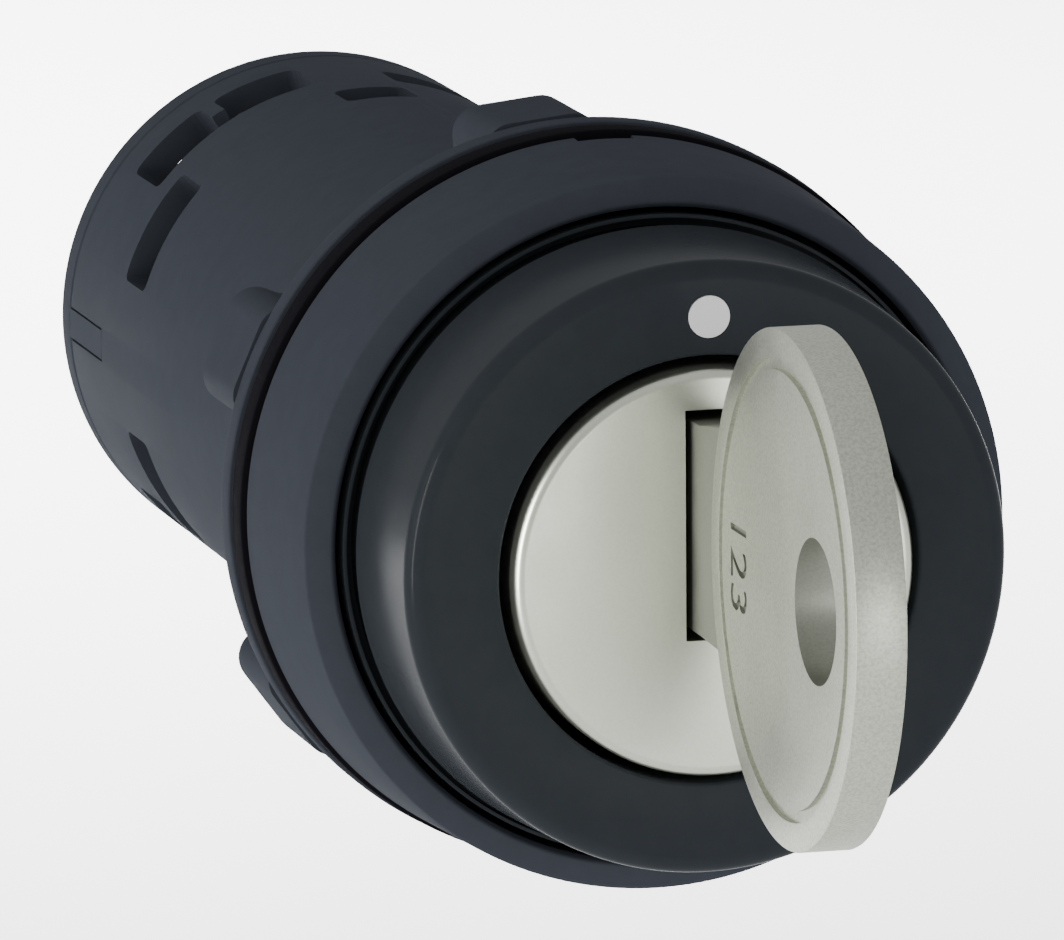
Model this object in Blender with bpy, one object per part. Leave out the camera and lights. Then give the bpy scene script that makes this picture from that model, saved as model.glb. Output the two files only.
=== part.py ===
"""Key-operated selector switch for a round 22 mm panel hole.

Frame: the turning axis is Y, the operator's side is -Y, +Z is up and +X is to the operator's right.
The origin is on the axis, in the plane where the gasket meets the front of the panel.
Angles are measured about Y from +X towards +Z. Lengths are in metres.
"""
import math

import bmesh
import bpy
from mathutils import Matrix, Vector

MM = 0.001
GAP = 0.3 * MM
FINE_GAP = 0.15 * MM
RING_SIDES = 44
SEAL_SIDES = 32
SMALL_SIDES = 20

# Body behind the panel
BODY_RADIUS = 11.0 * MM
BODY_BORE = 9.8 * MM
BODY_REAR = 44.6 * MM
THREAD_PITCH = 2.0 * MM
THREAD_DEPTH = 0.4 * MM
THREAD_TURNS = 6
THREAD_START = 0.6 * MM
FRONT_FLANGE_RADIUS = 12.5 * MM
FRONT_FLANGE = (-7.4 * MM, -5.8 * MM)

# Bezel and gasket
BEZEL_RADIUS = 14.5 * MM
BEZEL_REAR = -1.6 * MM
BEZEL_FRONT_RADIUS = 14.05 * MM
BEZEL_FRONT = -9.23 * MM
BEZEL_LIP_RADIUS = 13.03 * MM
BEZEL_LIP = -9.67 * MM
BEZEL_BORE = 12.85 * MM
BEZEL_LEDGE_RADIUS = BODY_RADIUS + GAP
BEZEL_LEDGE = FRONT_FLANGE[1] + GAP
GASKET_RADIUS = 14.2 * MM
NOTCH_HALF_WIDTH = 1.15 * MM
NOTCH_DEPTH = 0.6 * MM
NOTCH_LENGTH = 0.7 * MM

# Selector drum
DRUM_FRONT = -17.0 * MM
DRUM_EDGE_RADIUS = 11.92 * MM
DRUM_EDGE_FILLET = 0.75 * MM
DRUM_BASE_RADIUS = 12.6 * MM
DRUM_BASE = -9.62 * MM
DRUM_REAR = -7.75 * MM
DRUM_BORE = 8.3 * MM
DRUM_WALL = 1.6 * MM
HUB_RADIUS = 9.4 * MM
HUB_REAR = -4.0 * MM
SEAL_Y = -5.9 * MM
SEAL_WIRE = 0.38 * MM
SEAL_RADIUS = 9.3 * MM
RIB_HALF_WIDTH = 0.9 * MM
RIB_FRONT = -9.5 * MM
RIB_TOP = -7.3 * MM
RIB_SLOT_TOP = -6.9 * MM
DOT_RADIUS = 0.79 * MM
DOT_HEIGHT = 9.8 * MM
DOT_DEPTH = 0.5 * MM

# Lock core, sleeve and clip
CORE_RADIUS = 7.9 * MM
CORE_FACE = -17.8 * MM
CORE_REAR = 8.3 * MM
CORE_EDGE_FILLET = 0.35 * MM
CORE_TAIL_HALF = 2.5 * MM
CORE_TAIL_REAR = 13.2 * MM
CLIP_GROOVE_RADIUS = 6.6 * MM
CLIP = (8.9 * MM, 9.6 * MM)
CLIP_RADIUS = 9.1 * MM
CLIP_MOUTH_HALF = 4.0 * MM
CORE_LAND_REAR = 10.4 * MM
CORE_RING_Y = -13.0 * MM
CORE_RING_RADIUS = 7.62 * MM
CORE_RING_WIRE = 0.48 * MM
SLEEVE = (-3.7 * MM, 8.3 * MM)
SLEEVE_BORE = 8.2 * MM
SLEEVE_RADIUS = 9.5 * MM
KEYWAY_HALF_WIDTH = 1.18 * MM
KEYWAY_LOW = -2.56 * MM
KEYWAY_HIGH = 6.36 * MM
KEYWAY_END = 5.6 * MM

# Key
KEY_HALF_THICKNESS = 0.97 * MM
BOW_RADIUS = 9.77 * MM
BOW_CENTRE_Y = -30.32 * MM
BOW_CENTRE_Z = 1.74 * MM
BOW_HOLE_Y = -34.71 * MM
BOW_HOLE_RADIUS = 2.74 * MM
BLADE_LOW = -2.2 * MM
BLADE_HIGH = 5.95 * MM
BLADE_TIP = 4.8 * MM
BLADE_TAPER = 0.029
BLADE_NOSE = (0.5 * MM, 3.2 * MM)
BLADE_NOSE_LENGTH = 2.0 * MM
KEY_NECK_RISE = 0.9 * MM
KEY_NECK_DROP = 0.2 * MM
KEY_CUT_HALF = (1.0 * MM, 0.5 * MM)
KEY_CUT_DEPTH = 0.9 * MM
KEY_CUT_STEP = 0.15 * MM
KEY_CUT_OVERLAP = 0.5 * MM

# Wafers
WAFER_PLACES = (-2.2 * MM, 0.1 * MM, 2.4 * MM, 4.7 * MM)
WAFER_HALF_THICKNESS = 0.4 * MM
WAFER_HALF_WIDTH = 4.1 * MM
WAFER_HALF_HEIGHT = 6.4 * MM
WAFER_WINDOW_HALF = 1.5 * MM

# Cam and follower
CAM_FRONT = 10.7 * MM
CAM_FLOOR = 13.5 * MM
CAM_RADIUS = 8.9 * MM
CAM_RAMP_RADIUS = 5.6 * MM
CAM_RAMP_MIDDLE = 16.4 * MM
CAM_RAMP_HALF_ANGLE = math.radians(86)
TURN_LIMIT = math.radians(45)
FOLLOWER_STROKE = 1.5 * MM
RISE_PER_RADIAN = FOLLOWER_STROKE / TURN_LIMIT
FOLLOWER_PAD_HALF_ANGLE = math.radians(24)
DETENT_RADII = (9.25 * MM, 9.5 * MM)
DETENT_SPAN = (11.0 * MM, 13.4 * MM)
DETENT_HALF_ANGLE = math.radians(30)
FOLLOWER_DISC = (21.2 * MM, 23.2 * MM)
FOLLOWER_RADIUS = 8.6 * MM
STEM_RADIUS = 2.4 * MM
STEM_REAR = 30.7 * MM
POST_RADIUS = 1.1 * MM
HEAD = (31.9 * MM, 32.7 * MM)
HEAD_RADIUS = 1.8 * MM
SPRING = (23.6 * MM, 26.9 * MM)
SPRING_RADIUS = 5.0 * MM
SPRING_WIRE = 0.4 * MM
SPRING_TURNS = 3

# Contacts and terminals
CARRIER = (27.3 * MM, 28.5 * MM)
CARRIER_RADIUS = 9.5 * MM
CARRIER_WALL_REAR = 33.0 * MM
PRONG_FRONT = 20.2 * MM
PRONG_HALF_ANGLE = math.radians(8)
PRONG_RADIUS = 7.5 * MM
PRONG_GAP_ANGLE = math.radians(2.5)
BRIDGE = (31.0 * MM, 31.6 * MM)
BRIDGE_HALF_LENGTH = 6.1 * MM
BRIDGE_HALF_WIDTH = 1.7 * MM
PAD_RADIUS = 1.1 * MM
PAD_THICKNESS = 0.5 * MM
PAD_X = 4.6 * MM
BLOCK = (35.3 * MM, 36.8 * MM)
CONTACT_FRONT = (34.4 * MM, 35.0 * MM)
CONTACT_REAR = (37.1 * MM, 37.8 * MM)
CONTACT_HALF_WIDTH = 2.2 * MM
CONTACT_REACH = 3.0 * MM
CONTACT_THICKNESS = 0.7 * MM
CONTACT_TONGUE_END = 3.2 * MM
CONTACT_PLATE_END = 3.0 * MM
CLAMP = (39.3 * MM, 40.1 * MM)
CLAMP_HALF_LENGTH = 2.1 * MM
CLAMP_HALF_WIDTH = 2.4 * MM
SCREW_X = 5.0 * MM
SCREW_HEAD = (40.4 * MM, 42.4 * MM)
SCREW_HEAD_RADIUS = 2.0 * MM
SCREW_RADIUS = 1.1 * MM
SCREW_HOLE = 1.4 * MM
SCREW_SLOT_HALF = 0.3 * MM
SCREW_SLOT_DEPTH = 0.8 * MM
SCREW_EDGE = 0.3 * MM

# Rear cover
COVER = (44.75 * MM, 46.6 * MM)
COVER_EDGE = 0.5 * MM
TONGUE_HALF_WIDTH = 0.62 * MM
TONGUE_FRONT = 38.9 * MM
TONGUE_DEPTH = 1.0 * MM
COVER_WINDOW = (3.6 * MM, 9.3 * MM)
COVER_WINDOW_HALF_ANGLE = math.radians(43)
DRIVER_HOLE = 2.4 * MM

# Panel nut
WASHER = (0.3 * MM, 1.5 * MM)
WASHER_RADIUS = 14.77 * MM
NUT = (1.8 * MM, 6.6 * MM)
NUT_RADIUS = 12.9 * MM
NUT_BORE = BODY_RADIUS + GAP
LOBE_RADIUS = 14.85 * MM
LOBE_CORNER = 0.9 * MM
LOBE_HALF_ANGLE = math.radians(10.5)
LOBE_FIRST = math.radians(95.5)
LOBE_COUNT = 6

# Openings through the body: first angle, last angle in degrees, front and rear edge
UPPER_SLOTS = (
    (100.0, 117.2, 37.8 * MM, 42.1 * MM),
    (116.0, 123.7, 37.8 * MM, 39.8 * MM),
    (122.4, 142.1, 37.8 * MM, 42.1 * MM),
    (136.4, 163.0, 32.7 * MM, 36.2 * MM),
    (82.6, 98.8, 32.6 * MM, 35.4 * MM),
    (40.0, 81.5, 37.4 * MM, 40.4 * MM),
)

BLACK_PLASTIC = ((0.022, 0.028, 0.038), 0.5, 0.0)
DRUM_PLASTIC = ((0.016, 0.020, 0.027), 0.42, 0.0)
RUBBER = ((0.012, 0.012, 0.015), 0.8, 0.0)
NICKEL = ((0.50, 0.49, 0.44), 0.32, 1.0)
STEEL = ((0.45, 0.45, 0.46), 0.35, 1.0)
BRASS = ((0.60, 0.42, 0.16), 0.3, 1.0)
COPPER = ((0.62, 0.30, 0.17), 0.3, 1.0)
SILVER = ((0.80, 0.79, 0.76), 0.25, 1.0)
WHITE = ((0.85, 0.85, 0.85), 0.5, 0.0)
GREY_PLASTIC = ((0.09, 0.10, 0.11), 0.5, 0.0)
CREAM_PLASTIC = ((0.42, 0.38, 0.30), 0.5, 0.0)


def clear_scene():
    """Start from an empty scene."""
    for thing in list(bpy.data.objects):
        bpy.data.objects.remove(thing, do_unlink=True)


# ---------------------------------------------------------------- solids

def polar(radius, angle, y):
    """A point at a radius and angle about the Y axis."""
    return (radius * math.cos(angle), y, radius * math.sin(angle))


def add_loops(mesh, loops, closed):
    """Skin a row of equal loops; closed joins the last to the first, otherwise the ends are capped."""
    rows = [[mesh.verts.new(point) for point in loop] for loop in loops]
    count = len(rows)
    pairs = count if closed else count - 1
    for index in range(pairs):
        here = rows[index]
        there = rows[(index + 1) % count]
        for k in range(len(here)):
            after = (k + 1) % len(here)
            mesh.faces.new((here[k], here[after], there[after], there[k]))
    if not closed:
        mesh.faces.new(rows[0])
        mesh.faces.new(list(reversed(rows[-1])))


def add_ring(mesh, outline, sides=RING_SIDES):
    """Turn a closed (radius, y) outline, clear of the axis, about Y."""
    angles = [2 * math.pi * step / sides for step in range(sides)]
    add_loops(mesh, [[polar(r, angle, y) for r, y in outline] for angle in angles], True)


def add_turned(mesh, outline, sides=RING_SIDES, centre=(0.0, 0.0)):
    """Turn an open (radius, y) outline with flat ends about an axis along Y through an (x, z) centre."""
    angles = [2 * math.pi * step / sides for step in range(sides)]
    shift = Vector((centre[0], 0.0, centre[1]))
    loops = [[Vector(polar(r, angle, y)) + shift for angle in angles] for r, y in outline]
    add_loops(mesh, loops, False)


def add_disc(mesh, radius, span, sides=SMALL_SIDES, centre=(0.0, 0.0)):
    """A plain round bar along Y."""
    add_turned(mesh, [(radius, span[0]), (radius, span[1])], sides, centre)


def add_box(mesh, xs, ys, zs):
    """A box between two corners."""
    loops = [[(x, y, z) for x, z in ((xs[0], zs[0]), (xs[1], zs[0]), (xs[1], zs[1]), (xs[0], zs[1]))]
             for y in ys]
    add_loops(mesh, loops, False)


def add_prism(mesh, outline, span):
    """Extrude a closed (x, z) outline along Y."""
    add_loops(mesh, [[(x, y, z) for x, z in outline] for y in span], False)


def add_plate(mesh, outline, half_thickness):
    """Extrude a closed (y, z) outline along X."""
    add_loops(mesh, [[(x, y, z) for y, z in outline] for x in (-half_thickness, half_thickness)], False)


def add_sector(mesh, radii, angles, low, high, steps=12):
    """Part of a ring; low and high give the front and rear y at each angle."""
    loops = []
    for step in range(steps + 1):
        angle = angles[0] + (angles[1] - angles[0]) * step / steps
        loops.append([polar(radii[0], angle, low(angle)), polar(radii[1], angle, low(angle)),
                      polar(radii[1], angle, high(angle)), polar(radii[0], angle, high(angle))])
    add_loops(mesh, loops, False)


def level(y):
    """A flat end for a sector."""
    return lambda angle: y


def arc(centre, radius, first, last, steps):
    """Points on an arc, as (u, v) pairs, with both ends."""
    points = []
    for step in range(steps + 1):
        angle = first + (last - first) * step / steps
        points.append((centre[0] + radius * math.cos(angle), centre[1] + radius * math.sin(angle)))
    return points


# ---------------------------------------------------------------- objects

def material(name, look):
    """A Principled material from colour, roughness and metallic value."""
    colour, roughness, metallic = look
    made = bpy.data.materials.new(name)
    made.use_nodes = True
    shader = made.node_tree.nodes["Principled BSDF"]
    shader.inputs["Base Color"].default_value = (*colour, 1.0)
    shader.inputs["Roughness"].default_value = roughness
    shader.inputs["Metallic"].default_value = metallic
    return made


def finish(name, mesh):
    """Turn a bmesh into an object with its faces pointing out."""
    bmesh.ops.recalc_face_normals(mesh, faces=mesh.faces)
    data = bpy.data.meshes.new(name)
    mesh.to_mesh(data)
    mesh.free()
    made = bpy.data.objects.new(name, data)
    bpy.context.scene.collection.objects.link(made)
    return made


def piece(name, mesh, look):
    """One sub-part with its own material, shaded smooth across its round sides."""
    made = finish(name, mesh)
    made.data.materials.append(material(name, look))
    made.data.shade_smooth()
    made.data.set_sharp_from_angle(angle=math.radians(35))
    return made


def shape(name, mesh, target, operation):
    """Cut a mesh out of a piece, or join it on."""
    tool = finish(name, mesh)
    tool.hide_render = True
    tool.display_type = "WIRE"
    change = target.modifiers.new(name, "BOOLEAN")
    change.operation = operation
    change.solver = "EXACT"
    change.object = tool


def mirrored(places):
    """Each (first, last, front, rear) opening and its mirror image below the axis."""
    return list(places) + [(-last, -first, front, rear) for first, last, front, rear in places]


# ---------------------------------------------------------------- fixed pieces

def housing_shell():
    """The tube that passes through the panel: front flange, thread, side openings and tongue notches."""
    outline = [(BODY_BORE, FRONT_FLANGE[0]), (FRONT_FLANGE_RADIUS, FRONT_FLANGE[0]),
               (FRONT_FLANGE_RADIUS, FRONT_FLANGE[1]), (BODY_RADIUS, FRONT_FLANGE[1])]
    for turn in range(THREAD_TURNS):
        start = THREAD_START + turn * THREAD_PITCH
        outline += [(BODY_RADIUS, start), (BODY_RADIUS - THREAD_DEPTH, start + 0.4 * THREAD_PITCH),
                    (BODY_RADIUS, start + 0.8 * THREAD_PITCH)]
    outline += [(BODY_RADIUS, BODY_REAR), (BODY_BORE, BODY_REAR)]
    mesh = bmesh.new()
    add_ring(mesh, outline)
    shell = piece("housing_shell", mesh, BLACK_PLASTIC)
    slots = bmesh.new()
    for first, last, front, rear in mirrored((UPPER_SLOTS[0], UPPER_SLOTS[2]) + UPPER_SLOTS[3:]):
        add_sector(slots, (BODY_BORE - 2 * GAP, BODY_RADIUS + 2 * GAP),
                   (math.radians(first), math.radians(last)), level(front), level(rear), 6)
    shape("slot_cutter", slots, shell, "DIFFERENCE")
    necks = bmesh.new()
    for first, last, front, rear in mirrored(UPPER_SLOTS[1:2]):
        add_sector(necks, (BODY_BORE - 3 * GAP, BODY_RADIUS + 3 * GAP),
                   (math.radians(first), math.radians(last)), level(front), level(rear), 2)
    shape("neck_cutter", necks, shell, "DIFFERENCE")
    notches = bmesh.new()
    half = TONGUE_HALF_WIDTH + FINE_GAP
    for side in (-1, 1):
        add_box(notches, sorted((side * (BODY_RADIUS - TONGUE_DEPTH - GAP), side * (BODY_RADIUS + GAP))),
                (TONGUE_FRONT - FINE_GAP, BODY_REAR + GAP), (-half, half))
    shape("tongue_notch_cutter", notches, shell, "DIFFERENCE")
    return shell


def bezel_ring():
    """The collar that covers the edge of the panel hole, with a small notch at the top of its rear rim."""
    mesh = bmesh.new()
    add_ring(mesh, [
        (BEZEL_LEDGE_RADIUS, BEZEL_REAR), (BEZEL_LEDGE_RADIUS, BEZEL_LEDGE), (BEZEL_BORE, BEZEL_LEDGE),
        (BEZEL_BORE, BEZEL_LIP + 0.25 * MM), (BEZEL_LIP_RADIUS, BEZEL_LIP),
        (BEZEL_FRONT_RADIUS - 0.3 * MM, BEZEL_FRONT - 0.1 * MM), (BEZEL_FRONT_RADIUS, BEZEL_FRONT + 0.2 * MM),
        (BEZEL_RADIUS, BEZEL_REAR)])
    bezel = piece("bezel_ring", mesh, BLACK_PLASTIC)
    notch = bmesh.new()
    add_box(notch, (-NOTCH_HALF_WIDTH, NOTCH_HALF_WIDTH), (BEZEL_REAR - NOTCH_LENGTH, BEZEL_REAR + GAP),
            (BEZEL_RADIUS - NOTCH_DEPTH, BEZEL_RADIUS + GAP))
    shape("bezel_notch_cutter", notch, bezel, "DIFFERENCE")
    return bezel


def flat_ring(name, radii, span, look):
    """A ring with a rectangular section."""
    mesh = bmesh.new()
    add_ring(mesh, [(radii[0], span[0]), (radii[1], span[0]), (radii[1], span[1]), (radii[0], span[1])])
    return piece(name, mesh, look)


def round_ring(name, radius, wire, y, look):
    """A ring with a round section."""
    mesh = bmesh.new()
    add_ring(mesh, arc((radius, y), wire, 0.0, 2 * math.pi * 5 / 6, 5), SEAL_SIDES)
    return piece(name, mesh, look)


def lock_sleeve():
    """The fixed sleeve round the lock core, open above and below where the wafers come out."""
    sleeve = flat_ring("lock_sleeve", (SLEEVE_BORE, SLEEVE_RADIUS), SLEEVE, BRASS)
    windows = bmesh.new()
    half = WAFER_HALF_WIDTH + 2 * GAP
    span = (WAFER_PLACES[0] - WAFER_HALF_THICKNESS - GAP, WAFER_PLACES[-1] + WAFER_HALF_THICKNESS + GAP)
    add_box(windows, (-half, half), span, (-SLEEVE_RADIUS - GAP, SLEEVE_RADIUS + GAP))
    shape("sleeve_window_cutter", windows, sleeve, "DIFFERENCE")
    return sleeve


def detent_spring():
    """A thin curved leaf, fixed in the body just outside the cam's notched rim."""
    mesh = bmesh.new()
    top = math.pi / 2
    add_sector(mesh, DETENT_RADII, (top - DETENT_HALF_ANGLE, top + DETENT_HALF_ANGLE),
               level(DETENT_SPAN[0]), level(DETENT_SPAN[1]), 12)
    return piece("detent_spring", mesh, STEEL)


def contact_carrier():
    """The insulating cup that guides the follower: a web, a short wall and two forward prongs."""
    mesh = bmesh.new()
    stem_hole = STEM_RADIUS + GAP
    wall = CARRIER_RADIUS - 0.9 * MM
    add_ring(mesh, [(stem_hole, CARRIER[0]), (CARRIER_RADIUS, CARRIER[0]),
                    (CARRIER_RADIUS, CARRIER_WALL_REAR), (wall, CARRIER_WALL_REAR), (wall, CARRIER[1]),
                    (stem_hole, CARRIER[1])])
    carrier = piece("contact_carrier", mesh, GREY_PLASTIC)
    prongs = bmesh.new()
    for middle in (math.pi / 2, -math.pi / 2):
        add_sector(prongs, (PRONG_RADIUS, CARRIER_RADIUS - 0.02 * MM),
                   (middle - PRONG_HALF_ANGLE, middle + PRONG_HALF_ANGLE),
                   level(PRONG_FRONT), level(CARRIER[0] + 0.5 * MM), 3)
    shape("prong_joiner", prongs, carrier, "UNION")
    return carrier


def terminal_block():
    """The insulating plate that holds the fixed contacts and takes the terminal screws."""
    mesh = bmesh.new()
    add_disc(mesh, CARRIER_RADIUS, BLOCK, RING_SIDES)
    block = piece("terminal_block", mesh, CREAM_PLASTIC)
    holes = bmesh.new()
    for side in (-1, 1):
        add_disc(holes, SCREW_HOLE, (BLOCK[0] - GAP, BLOCK[1] + GAP), SMALL_SIDES, (side * SCREW_X, 0.0))
        outer = SCREW_X + CONTACT_REACH + GAP
        add_box(holes, sorted((side * (outer - CONTACT_THICKNESS - 2 * GAP), side * outer)),
                (BLOCK[0] - GAP, BLOCK[1] + GAP), (-CONTACT_HALF_WIDTH - GAP, CONTACT_HALF_WIDTH + GAP))
    shape("terminal_block_cutter", holes, block, "DIFFERENCE")
    return block


def fixed_contact(name, side):
    """A folded strip: contact tongue in front of the block, leg through it, clamping plate behind it."""
    outer = SCREW_X + CONTACT_REACH
    inner = outer - CONTACT_THICKNESS
    path = [(CONTACT_TONGUE_END, CONTACT_FRONT[0]), (outer, CONTACT_FRONT[0]), (outer, CONTACT_REAR[1]),
            (CONTACT_PLATE_END, CONTACT_REAR[1]), (CONTACT_PLATE_END, CONTACT_REAR[0]),
            (inner, CONTACT_REAR[0]), (inner, CONTACT_FRONT[1]), (CONTACT_TONGUE_END, CONTACT_FRONT[1])]
    mesh = bmesh.new()
    add_loops(mesh, [[(side * x, y, z) for x, y in path] for z in (-CONTACT_HALF_WIDTH, CONTACT_HALF_WIDTH)],
              False)
    strip = piece(name, mesh, COPPER)
    hole = bmesh.new()
    add_disc(hole, SCREW_HOLE, (CONTACT_REAR[0] - GAP, CONTACT_REAR[1] + GAP), SMALL_SIDES,
             (side * SCREW_X, 0.0))
    shape(name + "_hole_cutter", hole, strip, "DIFFERENCE")
    return strip


def contact_pad(name, side, rear):
    """A silver rivet head on a contact; rear is its rear face."""
    mesh = bmesh.new()
    add_disc(mesh, PAD_RADIUS, (rear - PAD_THICKNESS, rear), 16, (side * PAD_X, 0.0))
    return piece(name, mesh, SILVER)


def clamp_plate(name, side):
    """The square saddle that a screw presses onto a wire."""
    mesh = bmesh.new()
    add_box(mesh, sorted((side * (SCREW_X - CLAMP_HALF_LENGTH), side * (SCREW_X + CLAMP_HALF_LENGTH))),
            CLAMP, (-CLAMP_HALF_WIDTH, CLAMP_HALF_WIDTH))
    plate = piece(name, mesh, STEEL)
    hole = bmesh.new()
    add_disc(hole, SCREW_HOLE, (CLAMP[0] - GAP, CLAMP[1] + GAP), SMALL_SIDES, (side * SCREW_X, 0.0))
    shape(name + "_hole_cutter", hole, plate, "DIFFERENCE")
    return plate


def terminal_screw(name, side):
    """A clamping screw with a slotted head."""
    mesh = bmesh.new()
    tip = BLOCK[0] + 0.2 * MM
    add_turned(mesh, [(SCREW_RADIUS * 0.7, tip), (SCREW_RADIUS, tip + 0.4 * MM),
                      (SCREW_RADIUS, SCREW_HEAD[0]), (SCREW_HEAD_RADIUS, SCREW_HEAD[0]),
                      (SCREW_HEAD_RADIUS, SCREW_HEAD[1] - SCREW_EDGE),
                      (SCREW_HEAD_RADIUS - SCREW_EDGE, SCREW_HEAD[1])], SMALL_SIDES, (side * SCREW_X, 0.0))
    screw = piece(name, mesh, STEEL)
    slot = bmesh.new()
    reach = SCREW_HEAD_RADIUS + GAP
    add_box(slot, sorted((side * (SCREW_X - reach), side * (SCREW_X + reach))),
            (SCREW_HEAD[1] - SCREW_SLOT_DEPTH, SCREW_HEAD[1] + GAP), (-SCREW_SLOT_HALF, SCREW_SLOT_HALF))
    shape(name + "_slot_cutter", slot, screw, "DIFFERENCE")
    return screw


def rear_cover():
    """The snap-on end cap: two side tongues, wire windows above and below, holes over the screws."""
    mesh = bmesh.new()
    add_turned(mesh, [(BODY_RADIUS, COVER[0]), (BODY_RADIUS, COVER[1] - COVER_EDGE),
                      (BODY_RADIUS - COVER_EDGE, COVER[1])])
    cover = piece("rear_cover", mesh, BLACK_PLASTIC)
    tongues = bmesh.new()
    for side in (-1, 1):
        add_box(tongues, sorted((side * (BODY_RADIUS - TONGUE_DEPTH), side * (BODY_RADIUS - 0.03 * MM))),
                (TONGUE_FRONT, COVER[0] + 0.5 * MM), (-TONGUE_HALF_WIDTH, TONGUE_HALF_WIDTH))
    shape("tongue_joiner", tongues, cover, "UNION")
    openings = bmesh.new()
    for middle in (math.pi / 2, -math.pi / 2):
        add_sector(openings, COVER_WINDOW,
                   (middle - COVER_WINDOW_HALF_ANGLE, middle + COVER_WINDOW_HALF_ANGLE),
                   level(COVER[0] - GAP), level(COVER[1] + GAP), 14)
    for side in (-1, 1):
        add_disc(openings, DRIVER_HOLE, (COVER[0] - GAP, COVER[1] + GAP), 24, (side * (SCREW_X + 0.6 * MM), 0.0))
    shape("cover_opening_cutter", openings, cover, "DIFFERENCE")
    return cover


# ---------------------------------------------------------------- selector and key

def selector_drum():
    """The knob that turns in the bezel: hollow behind, with a hub that runs in the body's bore."""
    fillet_centre = (DRUM_EDGE_RADIUS - DRUM_EDGE_FILLET, DRUM_FRONT + DRUM_EDGE_FILLET)
    groove_floor = SEAL_RADIUS - SEAL_WIRE - 0.07 * MM
    groove_half = SEAL_WIRE + 0.1 * MM
    inner_wall = DRUM_BORE + DRUM_WALL
    outer_wall = DRUM_EDGE_RADIUS - DRUM_WALL
    outline = [(DRUM_BORE, DRUM_FRONT)]
    outline += arc(fillet_centre, DRUM_EDGE_FILLET, -math.pi / 2, 0.0, 4)
    outline += [(DRUM_BASE_RADIUS - 0.12 * MM, DRUM_BASE - 0.25 * MM), (DRUM_BASE_RADIUS, DRUM_BASE),
                (DRUM_BASE_RADIUS, DRUM_REAR), (outer_wall + 0.5 * MM, DRUM_REAR),
                (outer_wall, DRUM_FRONT + DRUM_WALL), (inner_wall, DRUM_FRONT + DRUM_WALL),
                (inner_wall - 0.2 * MM, DRUM_REAR), (HUB_RADIUS, DRUM_REAR),
                (HUB_RADIUS, SEAL_Y - groove_half), (groove_floor, SEAL_Y - groove_half),
                (groove_floor, SEAL_Y + groove_half), (HUB_RADIUS, SEAL_Y + groove_half),
                (HUB_RADIUS, HUB_REAR), (DRUM_BORE, HUB_REAR)]
    mesh = bmesh.new()
    add_ring(mesh, outline)
    drum = piece("selector_drum", mesh, DRUM_PLASTIC)
    rib = bmesh.new()
    add_box(rib, (-RIB_HALF_WIDTH, RIB_HALF_WIDTH), (RIB_FRONT, HUB_REAR - GAP),
            (-DRUM_BORE - 0.4 * MM, RIB_TOP))
    shape("drive_rib_joiner", rib, drum, "UNION")
    pocket = bmesh.new()
    add_disc(pocket, DOT_RADIUS + 0.08 * MM, (DRUM_FRONT - GAP, DRUM_FRONT + DOT_DEPTH + 0.1 * MM), 24,
             (0.0, DOT_HEIGHT))
    shape("dot_pocket_cutter", pocket, drum, "DIFFERENCE")
    return drum


def index_dot():
    """The white position mark let into the drum's face."""
    mesh = bmesh.new()
    add_disc(mesh, DOT_RADIUS, (DRUM_FRONT - 0.02 * MM, DRUM_FRONT + DOT_DEPTH), 24, (0.0, DOT_HEIGHT))
    return piece("index_dot", mesh, WHITE)


def lock_core():
    """The turned plug with its keyway, wafer slots, ring groove, clip groove and square tail."""
    ring_floor = CORE_RING_RADIUS - CORE_RING_WIRE - 0.1 * MM
    ring_half = CORE_RING_WIRE + 0.1 * MM
    outline = [(CORE_RADIUS - CORE_EDGE_FILLET, CORE_FACE),
               (CORE_RADIUS - 0.3 * CORE_EDGE_FILLET, CORE_FACE + 0.3 * CORE_EDGE_FILLET),
               (CORE_RADIUS, CORE_FACE + CORE_EDGE_FILLET),
               (CORE_RADIUS, CORE_RING_Y - ring_half), (ring_floor, CORE_RING_Y - ring_half),
               (ring_floor, CORE_RING_Y + ring_half), (CORE_RADIUS, CORE_RING_Y + ring_half),
               (CORE_RADIUS, CORE_REAR), (CLIP_GROOVE_RADIUS, CORE_REAR + GAP),
               (CLIP_GROOVE_RADIUS, CLIP[1] + 0.15 * MM), (CORE_RADIUS - 0.5 * MM, CLIP[1] + 0.15 * MM),
               (CORE_RADIUS - 0.5 * MM, CORE_LAND_REAR)]
    mesh = bmesh.new()
    add_turned(mesh, outline)
    core = piece("lock_core", mesh, NICKEL)
    tail = bmesh.new()
    add_box(tail, (-CORE_TAIL_HALF, CORE_TAIL_HALF), (CORE_LAND_REAR - 0.5 * MM, CORE_TAIL_REAR),
            (-CORE_TAIL_HALF, CORE_TAIL_HALF))
    shape("core_tail_joiner", tail, core, "UNION")
    keyway = bmesh.new()
    add_box(keyway, (-KEYWAY_HALF_WIDTH, KEYWAY_HALF_WIDTH), (CORE_FACE - GAP, KEYWAY_END),
            (KEYWAY_LOW, KEYWAY_HIGH))
    shape("keyway_cutter", keyway, core, "DIFFERENCE")
    slots = bmesh.new()
    half_width = WAFER_HALF_WIDTH + 0.2 * MM
    half_thickness = WAFER_HALF_THICKNESS + 0.2 * MM
    for place in WAFER_PLACES:
        add_box(slots, (-half_width, half_width), (place - half_thickness, place + half_thickness),
                (-CORE_RADIUS - GAP, CORE_RADIUS + GAP))
    add_box(slots, (-RIB_HALF_WIDTH - GAP, RIB_HALF_WIDTH + GAP), (RIB_FRONT - GAP, HUB_REAR),
            (-CORE_RADIUS - GAP, RIB_SLOT_TOP))
    shape("wafer_slot_cutter", slots, core, "DIFFERENCE")
    return core


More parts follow.
